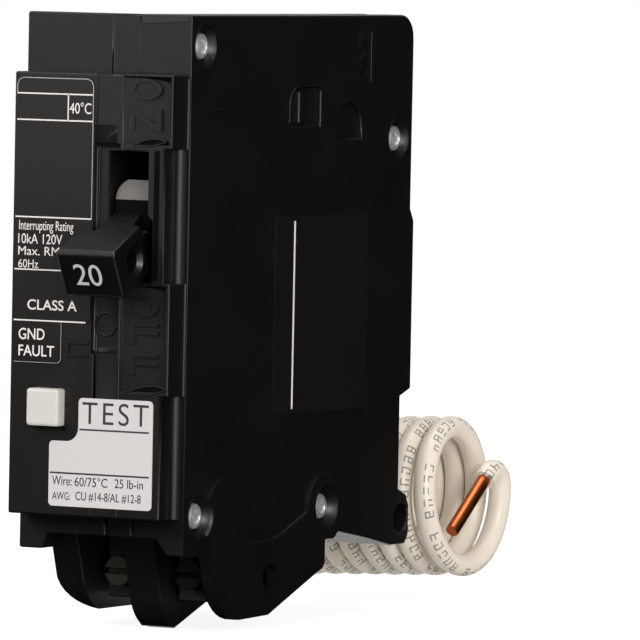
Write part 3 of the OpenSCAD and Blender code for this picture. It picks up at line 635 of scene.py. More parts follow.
def plate(plane: Matrix, outline: Sequence[Point2], radii: Sequence[float], thick: float) -> bmesh.types.BMesh:
    """Makes a flat plate with rounded corners.

    Args:
        plane: Drawing plane of the plate's back.
        outline: Corners in the plane, anticlockwise.
        radii: Rounding at each corner.
        thick: Thickness along the plane's Z.

    Returns:
        The plate, closed.
    """
    bm = bmesh.new()
    corners = [bm.verts.new((x * MM, y * MM, 0.0)) for x, y in outline]
    bm.faces.new(corners)
    for radius in sorted(set(radii)):
        chosen = [vert for vert, own in zip(corners, radii) if own == radius and radius > 0]
        if chosen:
            bmesh.ops.bevel(bm, geom=chosen, offset=radius * MM, affect="VERTICES", segments=6, profile=0.5,
                            material=-1)
    grown = bmesh.ops.extrude_face_region(bm, geom=list(bm.faces))
    moved = [part for part in grown["geom"] if isinstance(part, bmesh.types.BMVert)]
    bmesh.ops.translate(bm, verts=moved, vec=(0.0, 0.0, thick * MM))
    bmesh.ops.recalc_face_normals(bm, faces=bm.faces)
    bmesh.ops.transform(bm, matrix=plane, verts=bm.verts)
    return bm


def strips(plane: Matrix, boxes: Iterable[Box2], thick: float) -> bmesh.types.BMesh:
    """Makes thin printed or raised strips on a plane.

    Args:
        plane: Drawing plane that the strips lie on.
        boxes: Low X, low Y, high X and high Y of each strip.
        thick: Height of the strips.

    Returns:
        All the strips as one shape.
    """
    bm = bmesh.new()
    for x0, y0, x1, y1 in boxes:
        size = Matrix.Diagonal(((x1 - x0) * MM, (y1 - y0) * MM, thick * MM, 1.0))
        place = Matrix.Translation(point((x0 + x1) / 2, (y0 + y1) / 2, thick / 2))
        bmesh.ops.create_cube(bm, size=1.0, matrix=plane @ place @ size)
    return bm


def lettering(plane: Matrix, words: str, width: float, height: float, thick: float,
              weight: float = 0.0, spacing: float = 1.0) -> bpy.types.Mesh:
    """Makes plain lettering of a given size, centred on a plane's origin.

    Args:
        plane: Drawing plane of the letters' back.
        words: The letters or numbers.
        width: Full width.
        height: Full height.
        thick: Height off the plane.
        weight: Extra boldness, as an offset of the outline in the font's own units.
        spacing: Distance between the letters, as a share of the usual.

    Returns:
        The letters as a mesh in metres.
    """
    curve = bpy.data.curves.new("letters", "FONT")
    curve.body = words
    curve.size = 1.0
    curve.offset = weight
    curve.space_character = spacing
    curve.extrude = 0.5
    curve.resolution_u = 6
    holder = placed("letters", curve)
    bpy.context.view_layer.update()
    mesh = bpy.data.meshes.new_from_object(holder.evaluated_get(bpy.context.evaluated_depsgraph_get()))
    bpy.data.objects.remove(holder)
    bpy.data.curves.remove(curve)
    spans = [[vert.co[axis] for vert in mesh.vertices] for axis in range(2)]
    low = [min(span) for span in spans]
    high = [max(span) for span in spans]
    centre = Matrix.Translation((-(low[0] + high[0]) / 2, -(low[1] + high[1]) / 2, 0.5))
    size = Matrix.Diagonal((width * MM / (high[0] - low[0]), height * MM / (high[1] - low[1]), thick * MM, 1.0))
    mesh.transform(plane @ size @ centre)
    return mesh


def joined(meshes: Sequence[bpy.types.Mesh]) -> bmesh.types.BMesh:
    """Joins meshes into one bmesh and removes the originals."""
    bm = bmesh.new()
    for mesh in meshes:
        bm.from_mesh(mesh)
        bpy.data.meshes.remove(mesh)
    return bm


def swept(path: Sequence[Vector], radius: float, sides: int, side_way: Vector,
          print_deg: float = 0.0) -> bmesh.types.BMesh:
    """Sweeps a round section along a path, with the attributes that printing needs.

    Args:
        path: Points of the centreline, in metres.
        radius: Radius of the section.
        sides: Number of sides of the section.
        side_way: Direction that the section's first axis keeps to.
        print_deg: Angle round the section at the middle of the printing.

    Returns:
        The closed tube, with the layers along, rise and facing on its vertices.
    """
    bm = bmesh.new()
    along = bm.verts.layers.float.new("along")
    rise = bm.verts.layers.float.new("rise")
    facing = bm.verts.layers.float.new("facing")

    def ring_frame(index: int) -> Matrix:
        """Returns the frame of a ring, with its Z along the path."""
        ahead = (path[min(index + 1, len(path) - 1)] - path[max(index - 1, 0)]).normalized()
        first = (side_way - side_way.dot(ahead) * ahead).normalized()
        return frame_at(path[index], first, ahead.cross(first))

    start = ring_frame(0)
    verts = bmesh.ops.create_circle(bm, cap_ends=False, radius=radius * MM, segments=sides, matrix=start)["verts"]
    unplaced = start.inverted()
    for vert in verts:
        local = unplaced @ vert.co
        angle = math.atan2(local.y, local.x) - math.radians(print_deg)
        vert[rise] = math.sin(angle)
        vert[facing] = math.cos(angle)
    rim = list(bm.edges)
    bmesh.ops.edgeloop_fill(bm, edges=rim)
    run, before = 0.0, start
    for index in range(1, len(path)):
        grown = bmesh.ops.extrude_edge_only(bm, edges=rim)["geom"]
        verts = [part for part in grown if isinstance(part, bmesh.types.BMVert)]
        rim = [part for part in grown if isinstance(part, bmesh.types.BMEdge)
               and all(vert in verts for vert in part.verts)]
        run += (path[index] - path[index - 1]).length / MM
        here = ring_frame(index)
        bmesh.ops.transform(bm, matrix=here @ before.inverted(), verts=verts)
        before = here
        for vert in verts:
            vert[along] = run
    bmesh.ops.edgeloop_fill(bm, edges=rim)
    bmesh.ops.recalc_face_normals(bm, faces=bm.faces)
    return bm


def curled(start: Vector, end: Vector, radius: float, curls: int) -> list[Vector]:
    """Returns the centreline of a coil spring between two points, with flat end curls."""
    axis = (end - start).normalized()
    side = axis.orthogonal().normalized()
    other = axis.cross(side)
    count = curls * CURL_STEPS
    path = []
    for step in range(count + 1):
        turn = math.tau * step / CURL_STEPS
        rise = min(max((step - CURL_FLAT_STEPS) / (count - 2 * CURL_FLAT_STEPS), 0.0), 1.0)
        path.append(start.lerp(end, rise) + (side * math.cos(turn) + other * math.sin(turn)) * radius * MM)
    return path


def cornered(corners: Sequence[Place], radius: float) -> list[Vector]:
    """Returns the centreline of a lead through its corners, each rounded by up to a radius."""
    stops = [point(*corner) for corner in corners]
    path = [stops[0]]
    for before, here, after in zip(stops, stops[1:], stops[2:]):
        back, ahead = before - here, after - here
        cut = min(radius * MM, 0.45 * back.length, 0.45 * ahead.length)
        first, last = here + back.normalized() * cut, here + ahead.normalized() * cut
        for step in range(CORNER_STEPS + 1):
            share = step / CORNER_STEPS
            path.append(first.lerp(here, share).lerp(here.lerp(last, share), share))
    return [*path, stops[-1]]


def spun(profile: Sequence[Point2], centre: Vector, axis: Vector, steps: int = 40) -> bmesh.types.BMesh:
    """Spins a profile into a closed round shape.

    Args:
        profile: Points as radius and distance along the axis, from the axis back to the axis.
        centre: Point on the axis, in metres.
        axis: Direction of the axis.
        steps: Faces round the shape.

    Returns:
        The spun shape.
    """
    bm = bmesh.new()
    side = axis.orthogonal().normalized()
    verts = [bm.verts.new(centre + (side * r + axis * h) * MM) for r, h in profile]
    edges = [bm.edges.new(pair) for pair in zip(verts, verts[1:])]
    bmesh.ops.spin(bm, geom=verts + edges, cent=centre, axis=axis, angle=math.tau, steps=steps, use_merge=True)
    bmesh.ops.remove_doubles(bm, verts=bm.verts, dist=0.002 * MM)
    bmesh.ops.recalc_face_normals(bm, faces=bm.faces)
    return bm


def merged(shapes: Sequence[bmesh.types.BMesh]) -> bmesh.types.BMesh:
    """Joins several bmeshes into the first and frees the rest."""
    target = shapes[0]
    for shape in shapes[1:]:
        mesh = mesh_of("part", shape)
        target.from_mesh(mesh)
        bpy.data.meshes.remove(mesh)
    return target


@dataclass
class Studio:
    """Camera, floor, lamps and world."""

    azimuth_deg: float = 29.0
    elevation_deg: float = 2.724
    roll_deg: float = 1.111
    focal_px: float = 8477.235
    frame_px: float = 640.0
    sensor: float = 36.0
    aim: Place = (28.168, -2.635, 1117.162)
    shift: Place = (0.0, -62.2, 2.0)
    floor_z: float = -41.98
    floor_m: float = 2.5
    floor_grey: float = 0.86
    floor_roughness: float = 0.8
    floor_glow: float = 1.25
    floor_glow_share: float = 0.72
    world_light: float = 0.38
    warmth: Colour = (1.0, 0.965, 0.935)
    lit_at: Place = (0.0, -35.0, 0.0)
    lamps: tuple[tuple[str, Place, float, float], ...] = (
        ("key_light", (-0.55, -0.95, 0.75), 0.55, 6.5),
        ("top_light", (-0.05, -0.10, 1.05), 0.80, 7.0),
        ("side_light", (0.95, -0.75, 0.35), 0.45, 8.5),
    )
    cards: tuple[tuple[str, Place, Place, float, float], ...] = (
        ("rear_right_flag", (0.60, 0.55, 0.40), (-0.80, -0.60, 0.0), 3.2, 0.003),
        ("right_floor_flag", (0.87, 0.77, -0.0418), (0.0, 0.0, 1.0), 1.72, 0.003),
        ("front_floor_flag", (-0.20, -0.28, -0.0417), (0.0, 0.0, 1.0), 0.50, 0.01),
        ("front_high_card", (-0.073, -0.197, 0.309), (0.485, 0.875, 0.0), 0.60, 0.80),
        ("front_low_flag", (-0.073, -0.197, -0.291), (0.485, 0.875, 0.0), 0.60, 0.01),
        ("rear_top_flag", (-0.58, 0.58, 0.87), (0.484, -0.485, -0.728), 1.2, 0.18),
    )

    def build(self) -> None:
        """Makes the camera first, then the floor and the light."""
        self.camera()
        self.floor()
        self.world()
        for lamp in self.lamps:
            self.lamp(*lamp)
        for card in self.cards:
            self.card(*card)

    def camera(self) -> None:
        """Makes the camera at the photograph's viewing angle."""
        a, e, r = (math.radians(x) for x in (self.azimuth_deg, self.elevation_deg, self.roll_deg))
        back = Vector((math.sin(a) * math.cos(e), -math.cos(a) * math.cos(e), math.sin(e)))
        level = Vector((math.cos(a), math.sin(a), 0.0))
        above = back.cross(level)
        across = math.cos(r) * level + math.sin(r) * above
        up = math.cos(r) * above - math.sin(r) * level
        place = self.aim[0] * across + self.aim[1] * up + self.aim[2] * back + Vector(self.shift)
        data = bpy.data.cameras.new("camera")
        data.sensor_width = self.sensor
        data.lens = self.focal_px / self.frame_px * self.sensor
        data.clip_start = 0.05
        camera = placed("camera", data)
        camera.matrix_world = frame_at(place * MM, across, up)
        bpy.context.scene.camera = camera

    def floor(self) -> None:
        """Makes the pale floor, which shows white with the shadow on it."""
        bm = bmesh.new()
        bmesh.ops.create_circle(bm, cap_ends=True, radius=self.floor_m, segments=96,
                                matrix=Matrix.Translation((0.0, 0.0, self.floor_z * MM)))
        mesh = mesh_of("floor", bm)
        made = bpy.data.materials.new("pale_floor")
        made.use_nodes = True
        tree = made.node_tree
        shader = tree.nodes["Principled BSDF"]
        shader.inputs["Base Color"].default_value = (*(self.floor_grey,) * 3, 1.0)
        shader.inputs["Roughness"].default_value = self.floor_roughness
        glow = tree.nodes.new("ShaderNodeEmission")
        glow.inputs["Color"].default_value = (1.0, 1.0, 1.0, 1.0)
        glow.inputs["Strength"].default_value = self.floor_glow
        mix = tree.nodes.new("ShaderNodeMixShader")
        share = ShaderKit.maths(tree, "MULTIPLY", self.seen(tree), self.floor_glow_share)
        tree.links.new(share, mix.inputs["Fac"])
        tree.links.new(shader.outputs[0], mix.inputs[1])
        tree.links.new(glow.outputs[0], mix.inputs[2])
        tree.links.new(mix.outputs[0], tree.nodes["Material Output"].inputs["Surface"])
        mesh.materials.append(made)
        placed("floor", mesh)

    @staticmethod
    def seen(tree: bpy.types.NodeTree) -> bpy.types.NodeSocket:
        """Adds the mask of rays that come from the camera, a mirror or a glass."""
        path = tree.nodes.new("ShaderNodeLightPath")
        mask = ShaderKit.maths(tree, "MAXIMUM", path.outputs["Is Camera Ray"], path.outputs["Is Glossy Ray"])
        return ShaderKit.maths(tree, "MAXIMUM", mask, path.outputs["Is Transmission Ray"])

    def world(self) -> None:
        """Makes the white surroundings, dimmer as a light than as a background."""
        world = bpy.data.worlds.new("studio")
        bpy.context.scene.world = world
        world.use_nodes = True
        tree = world.node_tree
        ground = tree.nodes["Background"]
        ground.inputs["Color"].default_value = (1.0, 1.0, 1.0, 1.0)
        strength = ShaderKit.maths(tree, "MULTIPLY_ADD", self.seen(tree), 1.0 - self.world_light, self.world_light)
        tree.links.new(strength, ground.inputs["Strength"])
        bpy.context.scene.view_settings.view_transform = "Standard"

    @staticmethod
    def aimed(place: Vector, way: Vector) -> Matrix:
        """Returns the matrix at a place whose minus Z points along a way."""
        return Matrix.Translation(place) @ way.to_track_quat("-Z", "Y").to_matrix().to_4x4()

    def lamp(self, name: str, place: Place, size: float, power: float) -> None:
        """Adds a square soft lamp, in metres and watts, that points at the breaker."""
        data = bpy.data.lights.new(name, "AREA")
        data.size = size
        data.energy = power
        data.color = self.warmth
        placed(name, data).matrix_world = self.aimed(Vector(place), point(*self.lit_at) - Vector(place))

    def card(self, name: str, place: Place, way: Place, size: float,
             strength: float) -> None:
        """Adds a studio card that shows only in reflections, in metres, facing a way."""
        bm = bmesh.new()
        bmesh.ops.create_grid(bm, x_segments=1, y_segments=1, size=size / 2,
                              matrix=self.aimed(Vector(place), Vector(way)))
        mesh = mesh_of(name, bm)
        made = bpy.data.materials.new(name)
        made.use_nodes = True
        tree = made.node_tree
        glow = tree.nodes.new("ShaderNodeEmission")
        glow.inputs["Color"].default_value = (*self.warmth, 1.0)
        glow.inputs["Strength"].default_value = strength
        tree.links.new(glow.outputs[0], tree.nodes["Material Output"].inputs["Surface"])
        mesh.materials.append(made)
        card = placed(name, mesh)
        for ray in ("camera", "diffuse", "shadow", "transmission", "volume_scatter"):
            setattr(card, f"visible_{ray}", False)


@dataclass
class Pigtail:
    """White neutral wire that leaves the case below and is wound into a coil."""

    wire_d: float = 3.1
    copper_d: float = 1.9
    copper_len: float = 11.4
    coil_r: float = 9.6
    coil_pitch: float = 3.15
    coil_loops: int = 7
    coil_x: float = -9.75
    coil_y: float = 14.5
    coil_z: float = -27.1
    coil_sag: float = 0.95
    coil_open: float = 1.3
    coil_shrink: float = 1.2
    shrink_over: float = 90.0
    open_before: float = 220.0
    open_over: float = 270.0
    hook_r: float = 2.4
    hook_rise: float = 0.9
    hook_turn: float = 126.0
    hook_tail: float = 1.3
    hook_steps: int = 16
    rings: int = 48
    sides: int = 24
    print_deg: float = 42.0
    span_steps: ClassVar[int] = 5
    exit_at: Place = (-9.75, -8.47, -33.03)
    lead_route: tuple[Point2, ...] = ((-11.9, -29.6), (-8.2, -33.3), (-5.4, -35.6), (-2.0, -37.1), (2.0, -37.65))

    def build(self, shop: Workshop) -> None:
        """Args:
            shop: Maker of the pieces.
        """
        path = self.path()
        wire = shop.piece("pigtail_wire", swept(path, self.wire_d / 2, self.sides, X_WAY, self.print_deg),
                          Palette.WHITE_WIRE, ("pigtail_lead", "pigtail_coil"))
        tip = self.tip(shop, path)

    def coil_at(self, turn: float) -> Vector:
        """Returns the middle of the wire at a turn in degrees round the coil, from the bottom."""
        wound = 360.0 * self.coil_loops
        radius = self.coil_r - self.coil_shrink * self.ease((turn - wound) / self.shrink_over)
        angle = math.radians(turn)
        open_out = self.coil_open * self.ease((turn - wound + self.open_before) / self.open_over)
        return point(self.coil_x + self.coil_pitch * turn / 360.0 + open_out, self.coil_y + radius * math.sin(angle),
                     self.coil_z - self.coil_sag * (1.0 - turn / wound) - radius * math.cos(angle))

    @staticmethod
    def ease(share: float) -> float:
        """Returns a smooth step from 0 to 1."""
        share = max(0.0, min(1.0, share))
        return share * share * (3.0 - 2.0 * share)

    def path(self) -> list[Vector]:
        """Returns the wire's centreline from inside the bushing to the end of its insulation."""
        bottom = (self.coil_y - self.wire_d, self.coil_z - self.coil_sag - self.coil_r)
        corners = [point(self.coil_x, y, z) for y, z in (*self.lead_route, bottom)]
        path = self.smoothed(corners)
        turns = self.rings * self.coil_loops + self.rings // 4
        path += [self.coil_at(360.0 * i / self.rings) for i in range(turns + 1)]
        last = path[-1] / MM
        centre_y, centre_z = last.y - self.hook_r, last.z + self.hook_rise
        for i in range(self.hook_steps + 1):
            angle = math.radians(self.hook_turn * i / self.hook_steps)
            path.append(point(last.x, centre_y + self.hook_r * math.cos(angle),
                              centre_z + self.hook_r * math.sin(angle)))
        path.append(path[-1] + self.tip_way() * self.hook_tail * MM)
        return path

    @classmethod
    def smoothed(cls, corners: Sequence[Vector]) -> list[Vector]:
        """Returns a smooth line through the corners, with a few points to each span."""
        line = []
        for i in range(len(corners) - 1):
            p0, p1, p2 = corners[max(i - 1, 0)], corners[i], corners[i + 1]
            p3 = corners[min(i + 2, len(corners) - 1)]
            for step in range(cls.span_steps):
                t = step / cls.span_steps
                line.append(0.5 * (2 * p1 + (p2 - p0) * t + (2 * p0 - 5 * p1 + 4 * p2 - p3) * t * t
                                   + (3 * p1 - p0 - 3 * p2 + p3) * t ** 3))
        return [*line, corners[-1]]

    def tip_way(self) -> Vector:
        """Returns the direction in which the bare end points."""
        angle = math.radians(self.hook_turn)
        return Vector((0.0, -math.sin(angle), math.cos(angle)))

    def tip(self, shop: Workshop, path: Sequence[Vector]) -> bpy.types.Object:
        """Makes the bare copper end, cut off square with a worn rim."""
        r, long = self.copper_d / 2, self.copper_len
        profile = [(0.0, -0.6), (r, -0.6), (r, 0.4), (r - 0.03, 0.8), (r, 1.3), (r, long - 0.28),
                   (r - 0.05, long - 0.10), (r - 0.17, long - 0.01), (r - 0.42, long - 0.06), (0.0, long - 0.10)]
        return shop.piece("bare_copper_end", spun(profile, path[-1], self.tip_way()), Palette.COPPER,
                          ("conductor_tip",))


@dataclass
class CaseShells:
    """Three black mouldings, with what is moulded on their front and on their right side."""

    edge_r: float = 0.28
    shoulder_y: float = -62.2
    sink: float = 1.2
    letter_w: float = 4.7
    letter_h: float = 2.8
    letter_thick: float = 0.6
    letter_x: float = 7.55
    letter_tilt: float = 0.085
    letter_rise: float = 0.3
    letter_weight: float = 0.012
    floor_gap: float = 0.02
    windows: tuple[tuple[str, str, tuple[float, ...], Point2, Point2], ...] = (
        ("on", "ON", (30.0, 26.0), (3.6, 11.38), (22.82, 31.48)),
        ("off", "OFF", (1.45, -2.0, -6.05), (4.9, 11.08), (-9.48, 4.08)),
    )
    hollows: tuple[tuple[Point2, float, tuple[Point2, ...]], ...] = (
        ((11.95, -63.6), 1.1, ((4.62, 22.18), (-26.4, -10.22))),
        ((12.28, -62.58), 0.38, ((-10.2, 4.6), (22.2, 31.4))),
    )
    left_x: float = -12.7
    panel_x: float = 12.7
    sink_r: Point2 = (2.0, 2.8)
    zones: tuple[Zone, ...] = (
        Zone((12.0, -63.0, -45.0), (12.8, -14.0, -19.0)),  # right leg and its panel
        Zone((12.2, -60.0, 39.5), (12.4, 1.0, 40.0), 0.7),  # top edge of the right side
        Zone((12.2, -5.0, 12.0), (12.4, 1.0, 40.0), 0.7),  # rear edge of the right side
        Zone((-12.0, -60.0, -42.0), (-7.0, -20.0, -31.4)),  # left leg
        Zone((-12.8, -8.3, 19.6), (-11.3, -1.8, 26.2)),  # rear rivet on the left side
        Zone((-0.5, -51.5, -42.0), (0.6, -50.0, -29.0)),  # front of the middle leg
        Zone((10.7, -66.3, 4.4), (11.0, -66.1, 22.4), 0.55),  # right edge of the nose beside the handle
        Zone((10.7, -66.3, -27.0), (11.0, -66.1, -10.0), 0.55),  # right edge of the nose lower down
    )
    side_lines: tuple[tuple[float, tuple[Place, ...]], ...] = (
        (0.2, ((12.28, -58.2, 27.32), (12.3, -56.0, 27.36), (12.28, -53.9, 27.3))),
        (0.12, ((12.28, -35.6, 25.4), (12.28, -35.6, 28.7), (12.28, -34.1, 30.22), (12.28, -27.1, 30.22))),
        (0.4, ((11.6, -32.1, 29.4), (11.6, -32.05, 25.4))),
        (0.3, ((12.15, -27.05, 29.6), (12.15, -27.0, 25.4))),
    )
    scoops: tuple[tuple[Point2, ...], ...] = (
        ((5.0, -9.93), (9.5, -10.02), (11.75, -9.2), (10.1, -8.8), (8.0, -9.0), (5.0, -9.93)),
        ((6.1, 22.67), (8.4, 22.52), (11.2, 23.15), (10.0, 23.52), (8.4, 23.52), (6.1, 22.67)),
    )
    panel_rim: tuple[Place, ...] = (
        (12.26, -46.6, -30.62), (12.26, -37.8, -30.66), (12.26, -28.9, -27.32))
    middle_face: Box2 = (0.7, 32.0, 4.3, 39.45)
    face_thick: float = 0.02
    band_z: float = 38.55
    band_thick: float = 0.01
    band_lean: float = 0.15
    band: tuple[Point2, ...] = ((4.7, 0.0), (11.9, 0.45), (11.9, 0.95), (4.7, 0.95))
    seam: tuple[Point2, ...] = ((4.6, 38.5), (4.6, 32.15), (11.6, 32.1))
    seam_r: float = 0.08
    scoop_corner_r: float = 2.0
    scoop_rim_r: float = 0.1
    scoop_back: float = 0.05
    scoop_short: float = 0.08
    hollow_steps: int = 8
    # Dark strip beside the slot: painted shade of a shallow channel.
    groove_shade: Box2 = (9.25, 4.9, 10.1, 22.0)
    groove_shade_back: float = 0.01
    groove_shade_thick: float = 0.03
    bracket: tuple[Box2, ...] = (
        (-3.5, -3.7, -0.2, -3.35), (-3.5, -5.35, -0.2, -5.0), (-3.5, -5.0, -3.15, -3.7))
    bracket_thick: float = 0.25
    ring: tuple[Point2, ...] = ((1.35, 0.0), (1.35, 0.14), (1.5, 0.18), (1.65, 0.14), (1.65, 0.0))
    ring_at: Place = (1.9, NOSE_Y + 0.9, -1.0)
    word_at: Point2 = (-15.2, 34.25)
    word_size: Place = (6.5, 2.7, 0.15)
    line_corner_r: float = 1.2
    rim_corner_r: float = 3.0
    rim_r: float = 0.42
    middle_zones: tuple[Zone, ...] = (
        Zone((0.4, -66.3, 30.5), (0.6, -62.1, 39.9)),
        Zone((4.4, -66.3, 30.5), (4.6, -62.1, 39.9)),
    )

    def build(self, shop: Workshop) -> None:
        """Makes the shells, what is moulded on them, and dark sheets that paint the shade in the window scoops and
        beside the slot.

        Args:
            shop: Maker of the pieces.
        """
        for node in ("left_case", "middle_case", "right_cover"):
            zones = self.zones + (self.middle_zones if node == "middle_case" else ())
            shop.rounded_copy(node, f"{node}_moulding", Body.CASE, Palette.CASE, self.edge_r, 3, zones)
        self.switch_words(shop)
        self.shoulder_faces(shop)
        self.window_scoops(shop)
        self.nose_flank(shop)
        self.front_marks(shop)
        self.side_marks(shop)
        self.rivet_sinks(shop)

    def level(self, z: float) -> Matrix:
        """Returns the level drawing plane at a height, with its axes along X and Y."""
        return frame_at(point(0.0, 0.0, z), X_WAY, Y_WAY)

    def switch_words(self, shop: Workshop) -> None:
        """Makes the two windows' sloping floors, with the letters of the handle's positions on them."""
        deep_y = NOSE_Y + self.sink - self.floor_gap
        for name, letters, heights, (left, right), (low, high) in self.windows:
            fall = (self.sink - self.floor_gap) / (right - left)
            floor = plate(self.level(low), ((left, NOSE_Y), (right, deep_y), (left, deep_y)), (0.0,) * 3, high - low)
            shop.piece(f"{name}_floor", floor)
            slant = Vector((1.0, fall - self.letter_tilt, 0.0)).normalized()
            back_y = NOSE_Y + fall * (self.letter_x - left) - self.letter_rise + self.letter_thick
            meshes = [lettering(frame_at(point(self.letter_x, back_y, z), slant, Z_WAY), letter,
                                self.letter_w, self.letter_h, self.letter_thick, self.letter_weight)
                      for letter, z in zip(letters, heights)]
            shop.piece(f"{name}_letters", joined(meshes))

    def shoulder_faces(self, shop: Workshop) -> None:
        """Makes the flat face of the middle shoulder, and the sloped band and the seam line of the right one."""
        flat = strips(on_nose(NOSE_Y - self.shoulder_y), (self.middle_face,), self.face_thick)
        shop.piece("middle_shoulder_face", flat)
        lean = frame_at(point(0.0, self.shoulder_y - self.band_lean, self.band_z), X_WAY,
                        Vector((0.0, self.band_lean, 1.0)))
        band = plate(lean, self.band, (0.0,) * len(self.band), self.band_thick)
        shop.piece("right_shoulder_band", band)
        seam = [point(x, self.shoulder_y, z) for x, z in self.seam]
        shop.piece("right_shoulder_seam", swept(seam, self.seam_r, 8, Y_WAY), smooth_deg=TUBE_SMOOTH_DEG)

    def window_scoops(self, shop: Workshop) -> None:
        """Makes the eye-shaped scoop at the foot of each window as a sunk near-black sheet that paints the scoop's
        shade, with a rounded rim.
        """
        shade_eyes, rims = [], []
        for corners in self.scoops:
            rim = cornered([(x, NOSE_Y, z) for x, z in corners], self.scoop_corner_r)
            rims.append(swept(rim, self.scoop_rim_r, 8, Y_WAY))
            outline = [(place.x / MM, place.z / MM) for place in rim[:-1]]
            shade_eyes.append(plate(on_nose(self.scoop_back - self.sink), outline, [0.0] * len(outline),
                              self.sink - self.scoop_short))
        # The scoops' dark sheets are painted shade.
        shop.piece("window_scoops", merged(shade_eyes), Palette.PAINTED_SHADE)
        shop.piece("window_scoop_rims", merged(rims), smooth_deg=TUBE_SMOOTH_DEG)

    def nose_flank(self, shop: Workshop) -> None:
        """Makes the hollow rounding where the nose's right side meets the front, and a dark strip beside the slot that
        paints the shade of a shallow channel there.
        """
        shapes = []
        for (x, y), radius, spans in self.hollows:
            turns = [math.radians(180.0 + 90.0 * step / self.hollow_steps) for step in range(self.hollow_steps + 1)]
            curve = [(x + radius * math.cos(t), y - radius * math.sin(t)) for t in turns]
            for low, high in spans:
                outline = [(x - radius, y + radius), *reversed(curve)]
                shapes.append(plate(self.level(low), outline, [0.0] * len(outline), high - low))
        shop.piece("nose_hollow_roundings", merged(shapes))
        groove_shade = strips(on_nose(-self.groove_shade_back), (self.groove_shade,), self.groove_shade_thick)
        # The strip is painted shade.
        shop.piece("slot_side_groove_shade", groove_shade, Palette.PAINTED_SHADE)

    def front_marks(self, shop: Workshop) -> None:
        """Makes the small bracket and the ring mark beside the handle's channel."""
        bracket = strips(on_nose(), self.bracket, self.bracket_thick)
        shop.piece("raised_bracket", bracket)
        shop.piece("ring_mark", spun(self.ring, point(*self.ring_at), -Y_WAY))

    def side_marks(self, shop: Workshop) -> None:
        """Makes the raised word at the upper rear of the right side, and the raised lines and rims of that side."""
        plane = frame_at(point(RIGHT_X, *self.word_at), Z_WAY, -Y_WAY)
        shop.dress("line_letters", lettering(plane, "LINE", *self.word_size))
        shapes = [swept(cornered(way, self.line_corner_r), radius, 10, X_WAY) for radius, way in self.side_lines]
        shop.piece("side_lines", merged(shapes), smooth_deg=TUBE_SMOOTH_DEG)
        rim = swept(cornered(self.panel_rim, self.rim_corner_r), self.rim_r, 14, X_WAY)
        shop.piece("leg_panel_rim", rim, smooth_deg=TUBE_SMOOTH_DEG)

    def rivet_sinks(self, shop: Workshop) -> None:
        """Makes smooth linings for the dished sinks round the rivets."""
        deep, wide = self.sink_r
        slope = (wide - deep) / self.sink
        shapes = []
        for (y, z), high in zip(Rivets.places, (RIGHT_X, RIGHT_X, RIGHT_X, self.panel_x)):
            rise = high - RIGHT_X
            for side, outer in ((1, high), (-1, self.left_x)):
                top = wide + (slope * rise if side > 0 else 0.0)
                depth = self.sink + (rise if side > 0 else 0.0)
                profile = [(deep - 0.2, 0.03), (deep - 0.02, 0.03), (top - 0.02, depth), (top + 0.1, depth + 0.05),
                           (top + 0.22, depth + 0.03), (top + 0.24, depth - 0.05)]
                centre = point(outer - side * depth, y, z)
                shapes.append(spun(profile, centre, Vector((side, 0, 0)), 56))
        shop.piece("rivet_sink_linings", merged(shapes))


